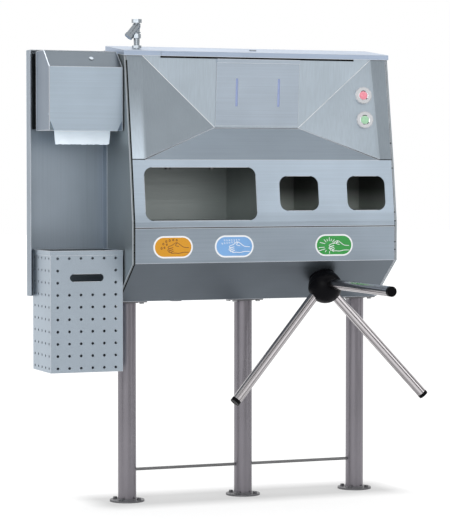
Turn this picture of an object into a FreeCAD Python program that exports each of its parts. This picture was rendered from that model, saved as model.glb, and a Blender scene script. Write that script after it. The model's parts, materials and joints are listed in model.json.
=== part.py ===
import FreeCAD, Part
import math
import os
import re
import Sketcher
from FreeCAD import Placement, Rotation, Vector

# Hygiene station with a tripod turnstile: a stainless cabinet on three legs, with a hand basin,
# two spray chambers, a towel dispenser, a waste basket and a counting tripod.
# The origin is the middle of the centre foot on the floor. X runs to the right, Y to the back, Z up.
# Depths are measured forward from the cabinet's back face, levels upward from the floor.

SIZES = [
    ("cabinet_width", 940), ("back_setback", 74), ("sheet_gauge", 2), ("rim_width", 5),
    ("panel_gap", 3), ("lid_gap", 0.5), ("moving_gap", 0.4), ("fit_gap", 0.05),
    ("under_level", 666), ("fold_level", 796), ("front_level", 928), ("hood_level", 1130),
    ("top_level", 1468), ("underside_depth", 130), ("front_depth", 288), ("hood_depth", 262),
    ("top_depth", 209), ("drip_height", 16), ("apron_return", 12), ("apron_base", 20),
    ("recess_half", 150), ("recess_level", 1237), ("recess_depth", 193),
    ("recess_top_inset", 62), ("recess_base_inset", 50), ("carrier_width", 20),
    ("leg_inset", 55), ("leg_diameter", 60.3), ("leg_wall", 2), ("foot_diameter", 115),
    ("foot_thickness", 6), ("foot_circle", 88), ("foot_hole", 9), ("plate_across", 110),
    ("plate_deep", 90), ("plate_thickness", 5), ("plate_bolt_across", 84), ("plate_bolt_deep", 56),
    ("bolt_diameter", 8), ("bolt_clearance", 1), ("bolt_head", 5.5), ("bolt_flats", 13),
    ("rod_diameter", 10), ("rod_level", 105),
    ("lid_front_depth", 214), ("lid_rear_depth", 30), ("lid_front_level", 1484),
    ("lid_rear_level", 1506), ("lid_overhang", 3), ("lip_height", 16), ("inlet_cover_width", 128),
    ("seal_inset", 125),
    ("seam", 1), ("rail_level", 1491.5), ("hinge_depth", 18), ("hinge_level", 1499),
    ("knuckle_radius", 5), ("knuckle_length", 20), ("hinge_pin_radius", 2.5),
    ("key_radius", 10), ("key_across", 12), ("key_depth", 130), ("cam_reach", 30),
    ("basin_inset", 46), ("basin_right", 35), ("basin_low", 933), ("basin_high", 1106),
    ("basin_depth", 258), ("basin_margin", 4), ("corner_round", 28),
    ("chamber_width", 140), ("chamber_low", 963), ("chamber_high", 1077), ("chamber_depth", 200),
    ("chamber_middle_at", 118), ("chamber_inset", 108), ("spout_radius", 10), ("spout_drop", 9),
    ("nozzle_drop", 8), ("drain_radius", 20), ("drain_across", 230), ("drain_depth", 40),
    ("drain_stub", 7), ("drain_lip", 5),
    ("shelf_level", 1168), ("canister_width", 120), ("canister_height", 250), ("canister_depth", 140),
    ("canister_offset", 75), ("sight_width", 296), ("sight_gauge", 1.5), ("slot_width", 10),
    ("slot_height", 92), ("slot_lift", 70), ("ledge_height", 12.5), ("ledge_proud", 5),
    ("label_width", 136), ("label_height", 72), ("label_gauge", 1), ("label_level", 848),
    ("lamp_radius", 29), ("lamp_proud", 9), ("lens_radius", 14), ("lamp_shank", 11),
    ("lamp_red_level", 1346), ("lamp_green_level", 1264), ("lamp_inset", 95),
    ("wing_width", 265), ("wing_low", 685), ("wing_high", 1488), ("wing_flange", 40),
    ("box_gap", 4), ("box_width", 248), ("box_front", 205), ("box_rear", 65),
    ("box_low", 1225), ("box_high", 1481), ("facet_depth", 145.5), ("facet_level", 1428),
    ("cover_gauge", 1.5), ("cover_pivot_depth", 197), ("cover_pivot_level", 1276),
    ("towel_width", 194), ("towel_low", 1179), ("towel_depth", 140),
    ("basket_gap", 5), ("basket_width", 244), ("basket_front", 205), ("basket_rear", 15),
    ("basket_low", 445), ("basket_high", 837), ("basket_gauge", 1.5), ("basket_hem", 15),
    ("perforation", 9), ("perforation_pitch", 39.3), ("grip_width", 114), ("grip_height", 25),
    ("grip_level", 750), ("cleat_level", 800), ("cleat_width", 180), ("cleat_gauge", 6),
    ("hub_across", 225), ("hub_slope", 87), ("hub_standoff", 27), ("hub_radius", 56),
    ("ball_rise", 15), ("neck_radius", 44), ("arm_droop", 0.4), ("arm_diameter", 33),
    ("arm_wall", 2), ("arm_root", 30), ("arm_reach", 518.5), ("cap_thickness", 12),
    ("cap_plug", 15), ("shaft_radius", 12.5),
    ("bearing_radius", 26), ("bearing_width", 15), ("housing_length", 100),
    ("cam_radius", 34), ("cam_thickness", 12),
    ("inlet_inset", 64), ("inlet_depth", 150), ("pipe_radius", 9.5), ("strainer_radius", 10.5),
    ("branch_radius", 13),
    ("strainer_low", 1526), ("strainer_high", 1588), ("collar_radius", 14.5),
    ("collar_height", 12), ("branch_length", 47), ("thread_radius", 9.3), ("valve_level", 1250),
]

# Places across the cabinet that move with its width.
TIED = {
    "leg_spacing": "(cabinet_width / 2 - leg_inset)",
    "recess_top_half": "(cabinet_width / 2 - recess_top_inset)",
    "recess_base_half": "(cabinet_width / 2 - recess_base_inset)",
    "basin_left": "(cabinet_width / 2 - basin_inset)",
    "chamber_right_at": "(cabinet_width / 2 - chamber_inset)",
    "lamp_across": "(cabinet_width / 2 - lamp_inset)",
    "seal_half": "(cabinet_width / 2 - seal_inset)",
    "box_right": "(cabinet_width / 2 + box_gap)",
    "box_left": "(cabinet_width / 2 + box_gap + box_width)",
    "basket_right": "(cabinet_width / 2 + basket_gap)",
    "basket_left": "(cabinet_width / 2 + basket_gap + basket_width)",
    "inlet_across": "(cabinet_width / 2 - inlet_inset)",
}

doc = FreeCAD.newDocument("HygieneTurnstile")
sheet = doc.addObject("Spreadsheet::Sheet", "Sizes")
for row, (name, number) in enumerate(SIZES, start=1):
    sheet.set(f"A{row}", name)
    sheet.set(f"B{row}", str(number))
    sheet.setAlias(f"B{row}", name)
doc.recompute()

nodes = {}
X_AXIS = Vector(1, 0, 0)
Y_AXIS = Vector(0, 1, 0)
Z_AXIS = Vector(0, 0, 1)


# ---- values and expressions --------------------------------------------------------------------

def bound(text):
    """The expression with each plain name turned into a reference to the size sheet."""
    spelt = re.sub(r"[a-z][a-z_]+", lambda found: TIED.get(found.group(), found.group()), str(text))
    return re.sub(r"[a-z][a-z_]+", lambda found: "Sizes." + found.group(), spelt)


def value(text):
    """The number that an expression in plain names has now."""
    return float(sheet.evalExpression(bound(text)))


def bind(target, **texts):
    for prop, text in texts.items():
        target.setExpression(prop, bound(text))


def ahead(depth):
    """The Y of a place that lies a depth forward of the back face."""
    return f"(back_setback - ({depth}))"


def place(target, x="0", y="0", z="0", rotation=None):
    target.Placement = Placement(Vector(value(x), value(y), value(z)), rotation or Rotation())
    for axis, text in zip("xyz", (x, y, z)):
        target.setExpression(f"Placement.Base.{axis}", bound(text))
    return target


# ---- primitives and booleans -------------------------------------------------------------------

def keep(label, thing):
    """Name a finished sub-part; its label also names its file."""
    thing.Label = label
    nodes[label] = thing
    return thing


def box(name, across, deep, tall, x, y, z):
    block = doc.addObject("Part::Box", name)
    bind(block, Length=across, Width=deep, Height=tall)
    return place(block, x, y, z)


def cylinder(name, radius, length, x="0", y="0", z="0", axis=Z_AXIS):
    rod = doc.addObject("Part::Cylinder", name)
    bind(rod, Radius=radius, Height=length)
    return place(rod, x, y, z, Rotation(Z_AXIS, axis))


def prism(name, flats, length, x="0", y="0", z="0", axis=Z_AXIS):
    """A hexagonal bar of a size across its flats."""
    bar = doc.addObject("Part::Prism", name)
    bar.Polygon = 6
    bind(bar, Circumradius=f"({flats}) / 1.7320508", Height=length)
    return place(bar, x, y, z, Rotation(Z_AXIS, axis).multiply(Rotation(Z_AXIS, 30)))


def fuse(name, *pieces):
    union = doc.addObject("Part::MultiFuse", name)
    union.Shapes = list(pieces)
    union.Refine = True
    return union


def cut(name, base, *tools):
    difference = doc.addObject("Part::Cut", name)
    difference.Base = base
    difference.Tool = tools[0] if len(tools) == 1 else fuse(name + "_tools", *tools)
    return difference


def group(name, *pieces):
    bundle = doc.addObject("Part::Compound", name)
    bundle.Links = list(pieces)
    return bundle


def solid(name, shape):
    """A folded sheet or plate whose shape is worked out from the sheet's sizes."""
    piece = doc.addObject("Part::Feature", name)
    piece.Shape = shape
    return piece


# ---- sketched bodies ---------------------------------------------------------------------------

def new_body(name):
    return doc.addObject("PartDesign::Body", name)


def sketch_on(body, role):
    drawing = body.newObject("Sketcher::SketchObject", body.Name + "_sketch")
    plane = [item for item in body.Origin.OriginFeatures if item.Role == role][0]
    drawing.AttachmentSupport = [(plane, "")]
    drawing.MapMode = "FlatFace"
    return drawing


def outline(drawing, points):
    """A closed polygon whose corners are bound to expressions."""
    corners = [Vector(value(across), value(up), 0) for across, up in points]
    first = drawing.GeometryCount
    count = len(corners)
    for index, corner in enumerate(corners):
        drawing.addGeometry(Part.LineSegment(corner, corners[(index + 1) % count]), False)
    for index in range(count):
        follower = first + (index + 1) % count
        drawing.addConstraint(Sketcher.Constraint("Coincident", first + index, 2, follower, 1))
    for index, (across, up) in enumerate(points):
        for kind, text in (("DistanceX", across), ("DistanceY", up)):
            rule = Sketcher.Constraint(kind, first + index, 1, value(text))
            drawing.setExpression(f"Constraints[{drawing.addConstraint(rule)}]", bound(text))
    return drawing


def ring(drawing, radius, across="0", up="0"):
    """A circle whose centre and radius are bound to expressions."""
    centre = Vector(value(across), value(up), 0)
    index = drawing.addGeometry(Part.Circle(centre, Z_AXIS, value(radius)), False)
    rules = [(Sketcher.Constraint("Radius", index, value(radius)), radius)]
    for kind, text in (("DistanceX", across), ("DistanceY", up)):
        if value(text):
            rules.append((Sketcher.Constraint(kind, index, 3, value(text)), text))
        else:
            other = "PointOnObject"
            axis = -2 if kind == "DistanceX" else -1
            drawing.addConstraint(Sketcher.Constraint(other, index, 3, axis))
    for rule, text in rules:
        drawing.setExpression(f"Constraints[{drawing.addConstraint(rule)}]", bound(text))
    return drawing


def pad(body, drawing, length, symmetric=False):
    feature = body.newObject("PartDesign::Pad", body.Name + "_pad")
    feature.Profile = drawing
    feature.SideType = "Symmetric" if symmetric else "One side"
    bind(feature, Length=length)
    doc.recompute()
    return feature


def pocket(body, drawing, length=None):
    """Cut through all of the body both ways, or a length split evenly about the sketch."""
    before = body.Tip.Shape.Volume
    feature = body.newObject("PartDesign::Pocket", body.Name + "_pocket")
    feature.Profile = drawing
    feature.SideType = "Symmetric"
    if length is None:
        feature.Type = "ThroughAll"
    else:
        bind(feature, Length=length)
    doc.recompute()
    if feature.Shape.Volume >= before:
        raise ValueError(f"{body.Label}: pocket removed nothing")
    return feature


def polar(body, feature, count):
    pattern = body.newObject("PartDesign::PolarPattern", body.Name + "_polar")
    pattern.Originals = [feature]
    pattern.Axis = (feature.Profile[0], ["N_Axis"])
    pattern.Angle = 360
    pattern.Occurrences = count
    body.Tip = pattern
    doc.recompute()
    return pattern


# ---- folded sheet ------------------------------------------------------------------------------

def offset_chain(points, distance):
    """An open chain of 2D points moved to its right-hand side by a distance, with sharp corners."""
    moved = []
    for index, point in enumerate(points):
        directions = []
        if index > 0:
            directions.append(point.sub(points[index - 1]).normalize())
        if index < len(points) - 1:
            directions.append(points[index + 1].sub(point).normalize())
        normals = [Vector(way.y, -way.x, 0) for way in directions]
        bisector = normals[0].add(normals[-1])
        bisector.normalize()
        moved.append(point.add(bisector.multiply(distance / bisector.dot(normals[0]))))
    return moved


def side_face(points, x):
    """A flat face across the cabinet at X from a chain of (Y, Z) points."""
    corners = [Vector(x, point.x, point.y) for point in points]
    return Part.Face(Part.makePolygon(corners + corners[:1]))


def flat(points):
    return [Vector(value(y), value(z), 0) for y, z in points]


def dished_plate(points, x_outer, inward, depth, gauge):
    """A flat plate with a rim turned inward along its whole edge; inward is +1 or -1."""
    plate = side_face(points, x_outer).extrude(X_AXIS * (inward * depth))
    inner_wire = side_face(points, x_outer + inward * gauge).makeOffset2D(-gauge, 2)
    hollow = inner_wire.extrude(X_AXIS * (inward * depth))
    return plate.cut(hollow)


def faceted_sheet(facets, thickness):
    """Flat facets that share their edges, swept straight back into one folded sheet."""
    prisms = []
    for corners in facets:
        face = Part.Face(Part.makePolygon(corners + corners[:1]))
        prisms.append(face.extrude(Y_AXIS * thickness))
    return prisms[0].multiFuse(prisms[1:]).removeSplitter()


# ---- shared places -----------------------------------------------------------------------------

half_width = "cabinet_width / 2"
inner_half = "(cabinet_width / 2 - sheet_gauge)"
rimmed_half = "(cabinet_width / 2 - rim_width)"
panel_half = "(cabinet_width / 2 - rim_width - panel_gap)"
lid_slope = "(lid_rear_level - lid_front_level) / (lid_front_depth - lid_rear_depth)"
hood_slope = "(hood_depth - top_depth) / (top_level - hood_level)"
panel_slope = "(front_depth - hood_depth) / (hood_level - front_level)"


def lid_top(depth):
    """The level of the lid's upper face at a depth."""
    return f"(lid_front_level + (lid_front_depth - ({depth})) * {lid_slope})"


def hood_y(level):
    """The Y of the hood strips' front face at a level."""
    return ahead(f"hood_depth - (({level}) - hood_level) * {hood_slope}")


def panel_y(level):
    """The Y of the opening panel's front face at a level."""
    return ahead(f"front_depth - (({level}) - front_level) * {panel_slope}")


hood_top = "(lid_front_level - sheet_gauge - lip_height / 4)"
shoulder_level = f"({lid_top('top_depth')} - sheet_gauge - lid_gap)"

side_points = [
    (ahead("0"), "under_level"), (ahead("underside_depth"), "under_level"),
    (ahead("front_depth"), "fold_level"), (ahead("front_depth"), "front_level"),
    (ahead("hood_depth"), "hood_level"), (hood_y(shoulder_level), shoulder_level),
    (ahead("lid_rear_depth"), f"{lid_top('lid_rear_depth')} - sheet_gauge - lid_gap - 1"),
    (ahead("lid_rear_depth"), "rail_level"), (ahead("0"), "rail_level"),
]

# The lower slope's outward direction is also the tripod's axis. Its three arms lean from that axis
# a little less than the slope leans from the vertical, so the barring arm droops by that much.
slope_run = value("front_depth - underside_depth")
slope_rise = value("fold_level - under_level")
slope_length = math.hypot(slope_run, slope_rise)
outward = Vector(0, -slope_rise / slope_length, -slope_run / slope_length)
down_slope = Vector(0, slope_run / slope_length, -slope_rise / slope_length)
fold_corner = Vector(0, value(ahead("front_depth")), value("fold_level"))
hub_centre = (fold_corner + X_AXIS * value("hub_across") + down_slope * value("hub_slope")
              + outward * value("hub_standoff"))
arm_lean = math.degrees(math.atan2(slope_run, slope_rise)) - value("arm_droop")
tripod_turn = Rotation(X_AXIS, math.degrees(math.atan2(slope_rise, -slope_run)))
tripod_place = Placement(hub_centre, tripod_turn)


def on_tripod(thing, offset=Vector(), rotation=None):
    """Put a thing that is drawn about the tripod's own axis into the cabinet."""
    thing.Placement = tripod_place.multiply(Placement(offset, rotation or Rotation()))
    return thing


# ---- legs --------------------------------------------------------------------------------------

def make_legs():
    plates = []
    bolts = []
    feet = []
    for side, step in (("left", -1), ("middle", 0), ("right", 1)):
        centre = f"{step} * leg_spacing"
        tube = new_body(f"leg_{side}")
        drawing = sketch_on(tube, "XY_Plane")
        ring(drawing, "leg_diameter / 2")
        ring(drawing, "leg_diameter / 2 - leg_wall")
        pad(tube, drawing, "under_level - plate_thickness - foot_thickness")
        place(keep(f"leg_{side}", tube), centre, "0", "foot_thickness")

        flange = new_body(f"foot_{side}")
        pad(flange, ring(sketch_on(flange, "XY_Plane"), "foot_diameter / 2"), "foot_thickness")
        hole = ring(sketch_on(flange, "XY_Plane"), "foot_hole / 2",
                    "foot_circle / 2 * 0.70710678", "foot_circle / 2 * 0.70710678")
        polar(flange, pocket(flange, hole), 4)
        feet.append(place(flange, centre))

        plate = box(f"plate_{side}", "plate_across", "plate_deep", "plate_thickness",
                    f"{centre} - plate_across / 2", "-plate_deep / 2",
                    "under_level - plate_thickness")
        holes = []
        for index, (along, back) in enumerate(((-1, -1), (1, -1), (-1, 1), (1, 1))):
            x = f"{centre} + {along} * plate_bolt_across / 2"
            y = f"{back} * plate_bolt_deep / 2"
            name = f"bolt_{side}_{index}"
            holes.append(cylinder(name + "_hole", "bolt_diameter / 2 + bolt_clearance / 2",
                                  "plate_thickness + 2", x, y, "under_level - plate_thickness - 1"))
            bolts.append(make_bolt(name, x, y))
        plates.append(cut(f"drilled_plate_{side}", plate, *holes))
    keep("feet", group("feet", *feet))
    keep("leg_plates", group("leg_plates", *plates))
    keep("leg_bolts", group("leg_bolts", *bolts))

    rods = []
    for index, start in enumerate(("-leg_spacing + leg_diameter / 2", "leg_diameter / 2")):
        rods.append(cylinder(f"rod_{index}", "rod_diameter / 2", "leg_spacing - leg_diameter",
                             start, "0", "rod_level", X_AXIS))
    keep("tie_rods", group("tie_rods", *rods))


def make_bolt(name, x, y):
    """A hexagon bolt up through the leg plate and the cabinet's floor, with its nut."""
    head = prism(name + "_head", "bolt_flats", "bolt_head", x, y,
                 "under_level - plate_thickness - bolt_head")
    nut = prism(name + "_nut", "bolt_flats", "bolt_head + 1", x, y, "under_level + sheet_gauge")
    shank = cylinder(name + "_shank", "bolt_diameter / 2",
                     "bolt_head + plate_thickness + sheet_gauge + bolt_head + 3", x, y,
                     "under_level - plate_thickness - bolt_head")
    return fuse(name, head, shank, nut)


# ---- cabinet shell -----------------------------------------------------------------------------

def make_side_panels():
    for side, step in (("left", -1), ("right", 1)):
        shape = dished_plate(flat(side_points), step * value(half_width), -step,
                             value("rim_width"), value("sheet_gauge"))
        keep(f"side_panel_{side}", solid(f"side_panel_{side}", shape))


def make_carriers():
    """Bent strips welded inside the side panels, which the front sheets are fixed to."""
    gauge = value("sheet_gauge")
    base = value("under_level + sheet_gauge")
    slope = slope_run / slope_rise
    foot_y = value(ahead("underside_depth")) - (base - value("under_level")) * slope
    front = [Vector(foot_y, base, 0)] + flat(side_points[2:5]) + flat([(hood_y(hood_top), hood_top)])
    outer = offset_chain(front, gauge)
    inner = offset_chain(front, gauge + value("panel_gap"))
    for chain in (outer, inner):
        chain[0] = Vector(chain[1].x + (chain[1].y - base) * slope, base, 0)
    strips = []
    for step in (-1, 1):
        face = side_face(outer + inner[::-1], step * value(inner_half))
        strips.append(solid(f"carrier_{step}", face.extrude(X_AXIS * (-step * value("carrier_width")))))
    keep("panel_carriers", group("panel_carriers", *strips))


def make_back_and_floor():
    keep("back_panel", box("back_panel", f"2 * {rimmed_half}", "sheet_gauge",
                           "rail_level - under_level - 2 * sheet_gauge", f"-{rimmed_half}",
                           ahead("sheet_gauge"), "under_level + sheet_gauge"))
    floor = box("floor_sheet", f"2 * {rimmed_half}", "underside_depth - apron_base", "sheet_gauge",
                f"-{rimmed_half}", ahead("underside_depth - apron_base"), "under_level")
    holes = [cylinder("drain_hole", "drain_radius + moving_gap", "sheet_gauge + 2",
                      "-drain_across", ahead("drain_depth"), "under_level - 1")]
    for step in (-1, 0, 1):
        for along in (-1, 1):
            for back in (-1, 1):
                holes.append(cylinder("floor_hole", "bolt_diameter / 2 + bolt_clearance / 2",
                                      "sheet_gauge + 2",
                                      f"{step} * leg_spacing + {along} * plate_bolt_across / 2",
                                      f"{back} * plate_bolt_deep / 2", "under_level - 1"))
    keep("bottom_panel", cut("bottom_panel", floor, *holes))


def recess_corners(side):
    """The corners of the recess's side triangle: top, inner and lower, on one side."""
    lower = "hood_level + panel_gap"
    corners = (("recess_top_half", hood_y("top_level"), "top_level"),
               ("recess_half", ahead("recess_depth"), "recess_level"),
               ("recess_base_half", hood_y(lower), lower))
    return [Vector(side * value(x), value(y), value(z)) for x, y, z in corners]


def sight_place(across="0", lift="0", proud="0"):
    """A place on the recess's upright facet, measured up from its lower edge."""
    run = value("top_depth - recess_depth")
    rise = value("top_level - recess_level")
    turn = Rotation(X_AXIS, math.degrees(math.atan2(run, rise)))
    base = Vector(0, value(ahead("recess_depth")), value("recess_level"))
    return Placement(base, turn).multiply(
        Placement(Vector(value(across), -value(proud), value(lift)), Rotation()))


def sight_block(name, across, deep, tall, place_across, lift, proud):
    """A block set square to the recess's upright facet."""
    block = doc.addObject("Part::Box", name)
    bind(block, Length=across, Width=deep, Height=tall)
    block.Placement = sight_place(place_across, lift, proud)
    return block


def sight_slots(name, widen):
    slots = []
    for step in (-1, 1):
        slots.append(sight_block(f"{name}_{step}", f"slot_width + {widen}", "40",
                                 f"slot_height + {widen}",
                                 f"{step} * canister_offset - (slot_width + {widen}) / 2",
                                 f"slot_lift - {widen} / 2", "20"))
    return slots


def lamp_place(level):
    """A place on the right-hand triangle of the recess, facing out of it."""
    top, inner, lower = recess_corners(1)
    normal = (inner - top).cross(lower - top).normalize()
    if normal.y > 0:
        normal = normal * -1
    point = Vector(value("lamp_across"), 0, value(level))
    point.y = top.y - (normal.x * (point.x - top.x) + normal.z * (point.z - top.z)) / normal.y
    return Placement(point, Rotation(Z_AXIS, normal))


def make_hood():
    """Two outer strips, two triangles and a centre facet, folded from one sheet."""
    upper_y, upper_z = value(hood_y(hood_top)), value(hood_top)
    edge = value(panel_half)
    facets = []
    for side in (-1, 1):
        top, inner, lower = recess_corners(side)
        facets.append([Vector(side * edge, upper_y, upper_z), Vector(top.x, upper_y, upper_z), top,
                       lower, Vector(side * edge, lower.y, lower.z)])
        facets.append([top, inner, lower])
    (left_top, left_inner, _), (right_top, right_inner, _) = recess_corners(-1), recess_corners(1)
    facets.append([left_top, right_top, right_inner, left_inner])
    facets.append([left_top, right_top, Vector(right_top.x, upper_y, upper_z),
                   Vector(left_top.x, upper_y, upper_z)])
    sheet_metal = solid("hood_sheet", faceted_sheet(facets, value("sheet_gauge")))
    tools = sight_slots("hood_slot", "4")
    for colour in ("red", "green"):
        hole = cylinder_free(f"lamp_hole_{colour}", "lamp_shank + moving_gap", "40")
        hole.Placement = lamp_place(f"lamp_{colour}_level").multiply(
            Placement(Vector(0, 0, -20), Rotation()))
        tools.append(hole)
    keep("hood_recess", cut("hood_recess", sheet_metal, *tools))


def make_sight_panel():
    plate_height = "(top_level - recess_level - ledge_height - 12)"
    plate = sight_block("sight_plate", "sight_width", "sight_gauge", plate_height,
                        "-sight_width / 2", "6", "sight_gauge")
    ledge = sight_block("sight_ledge", "sight_width", "ledge_proud", "ledge_height",
                        "-sight_width / 2", f"6 + {plate_height}", "ledge_proud")
    blank = fuse("sight_blank", plate, ledge)
    keep("sight_panel", cut("sight_panel", blank, *sight_slots("sight_slot", "0")))
    keep("lid_seal", box("lid_seal", "2 * seal_half", "2.2", "6", "-seal_half", ahead("top_depth + 2.2"),
                         "top_level - lid_gap - 6"))


def make_opening_panel():
    """The sheet with the three openings: a lower recess facet, the panel and a drip edge."""
    body = new_body("opening_panel")
    gauge = "sheet_gauge"
    facet_slope = "(hood_depth - recess_depth) / (recess_level - hood_level)"
    top = "(recess_level - panel_gap)"
    top_y = ahead(f"hood_depth - ({top} - hood_level) * {facet_slope}")
    drip = "front_level - drip_height"
    front = ahead("front_depth")
    profile = [
        (top_y, top), (ahead("hood_depth"), "hood_level"), (front, "front_level"), (front, drip),
        (f"{front} + {gauge}", drip), (f"{front} + {gauge}", "front_level"),
        (f"{ahead('hood_depth')} + {gauge}", "hood_level"), (f"{top_y} + {gauge}", top),
    ]
    pad(body, outline(sketch_on(body, "YZ_Plane"), profile), f"2 * {panel_half}", symmetric=True)
    run = "(recess_base_half - recess_half) / (recess_level - hood_level)"
    for side in (-1, 1):
        corner = [
            (f"{side} * (recess_base_half - panel_gap)", "hood_level"),
            (f"{side} * ({panel_half} + 5)", "hood_level"),
            (f"{side} * ({panel_half} + 5)", "recess_level + 5"),
            (f"{side} * (recess_half - panel_gap - 5 * {run})", "recess_level + 5"),
        ]
        pocket(body, outline(sketch_on(body, "XZ_Plane"), corner))
    tools = [window("basin_window", "-basin_left", "-basin_right", "basin_low", "basin_high")]
    for centre in ("chamber_middle_at", "chamber_right_at"):
        tools.append(window(centre + "_window", f"{centre} - chamber_width / 2",
                            f"{centre} + chamber_width / 2", "chamber_low", "chamber_high"))
    keep("opening_panel", cut("opening_panel", body, *tools))


def window(name, left, right, low, high):
    """A block with rounded upright corners, which cuts an opening through the sloping panel."""
    block = box(name + "_block", f"{right} - ({left})", "60", f"{high} - {low}", left,
                ahead("front_depth + 5"), low)
    rounded = doc.addObject("Part::Fillet", name)
    rounded.Base = block
    doc.recompute()
    along_y = [index for index, edge in enumerate(block.Shape.Edges, start=1)
               if abs(edge.Vertexes[0].Y - edge.Vertexes[1].Y) > 1]
    rounded.Edges = [(index, value("corner_round"), value("corner_round")) for index in along_y]
    return rounded


def make_apron():
    """The upright label panel and the lower slope, bent from one sheet."""
    body = new_body("front_apron")
    front = ahead("front_depth")
    base = ahead("underside_depth")
    top = "(front_level - drip_height - panel_gap - 1)"
    lean = slope_length / slope_rise
    shift = f"(sheet_gauge * {lean})"
    run = "(front_depth - underside_depth) / (fold_level - under_level)"
    profile = [
        (f"{front} + apron_return", top), (front, top), (front, "fold_level"), (base, "under_level"),
        (f"{base} + apron_base", "under_level"),
        (f"{base} + apron_base", "under_level + sheet_gauge"),
        (f"{base} + {shift} - sheet_gauge * {run}", "under_level + sheet_gauge"),
        (f"{front} + sheet_gauge", f"fold_level + ({shift} - sheet_gauge) / ({run})"),
        (f"{front} + sheet_gauge", f"{top} - sheet_gauge"),
        (f"{front} + apron_return", f"{top} - sheet_gauge"),
    ]
    pad(body, outline(sketch_on(body, "YZ_Plane"), profile), f"2 * {panel_half}", symmetric=True)
    tools = [on_tripod(cylinder_free("shaft_hole", "shaft_radius + 5", "60"),
                       Vector(0, 0, -value("hub_standoff + 30")))]
    for side, start in ((-1, f"-{panel_half} - 1"), (1, f"{panel_half} - carrier_width")):
        tools.append(box(f"apron_notch_{side}", "carrier_width + 1", "apron_return",
                         "2 * sheet_gauge", start, f"{front} + sheet_gauge", f"{top} - sheet_gauge"))
    keep("front_apron", cut("front_apron", body, *tools))


def cylinder_free(name, radius, length):
    """A bound cylinder whose placement is left to be worked out."""
    rod = doc.addObject("Part::Cylinder", name)
    bind(rod, Radius=radius, Height=length)
    return rod


# ---- top covers --------------------------------------------------------------------------------

def cover_section(name, x_from, x_to, lip_side):
    """A stretch of the sloping top cover with its front lip, and a side lip at one end."""
    gauge = value("sheet_gauge")
    front = value(ahead("lid_front_depth"))
    rear = value(ahead("lid_rear_depth"))
    front_z, rear_z = value("lid_front_level"), value("lid_rear_level")
    lip = value("lip_height")
    slope = value(lid_slope)
    bend = [(front, front_z - lip), (front, front_z), (rear, rear_z), (rear, rear_z - gauge),
            (front + gauge, front_z - gauge + gauge * slope), (front + gauge, front_z - lip)]
    left, right = value(x_from), value(x_to)
    sheet_metal = side_face([Vector(y, z, 0) for y, z in bend], left)
    sheet_metal = sheet_metal.extrude(X_AXIS * (right - left))
    cheek = [(front, front_z - lip), (front, front_z), (rear, rear_z), (rear, rear_z - lip)]
    cheek_x = left if lip_side < 0 else right - gauge
    cheek_face = side_face([Vector(y, z, 0) for y, z in cheek], cheek_x)
    return solid(name, sheet_metal.fuse(cheek_face.extrude(X_AXIS * gauge)).removeSplitter())


cover_half = "(cabinet_width / 2 + lid_overhang)"
lid_left = f"(-{cover_half} + inlet_cover_width + seam)"
hinge_spots = ("-cabinet_width / 4", "cabinet_width * 0.4")


def make_covers():
    blank = cover_section("inlet_blank", f"-{cover_half}", f"-{cover_half} + inlet_cover_width", -1)
    hole = cylinder("inlet_hole", "pipe_radius + moving_gap", "60", "-inlet_across",
                    ahead("inlet_depth"), "top_level")
    keep("inlet_cover", cut("inlet_cover", blank, hole))

    lid = [cover_section("lid_blank", lid_left, cover_half, 1)]
    for spot in hinge_spots:
        lid.append(cylinder("lid_knuckle", "knuckle_radius", "knuckle_length",
                            f"{spot} - knuckle_length / 2", ahead("hinge_depth"), "hinge_level",
                            X_AXIS))
        leaf = [("hinge_depth", 0), ("lid_rear_depth + 30", 0), ("lid_rear_depth + 30", 2),
                ("hinge_depth", 2)]
        corners = [Vector(value(ahead(depth)), value(lid_top(depth)) - value("sheet_gauge") - drop, 0)
                   for depth, drop in leaf]
        face = side_face(corners, value(f"{spot} - knuckle_length / 2"))
        lid.append(solid("lid_leaf", face.extrude(X_AXIS * value("knuckle_length"))))
    tools = [cylinder("lid_pin_hole", "hinge_pin_radius + fit_gap", "cabinet_width",
                      f"-{half_width}", ahead("hinge_depth"), "hinge_level", X_AXIS)]
    tools.append(key_part("key_hole", "key_radius + moving_gap", "20", "-10"))
    keep("service_lid", cut("service_lid", fuse("lid_fused", *lid), *tools))


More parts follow.
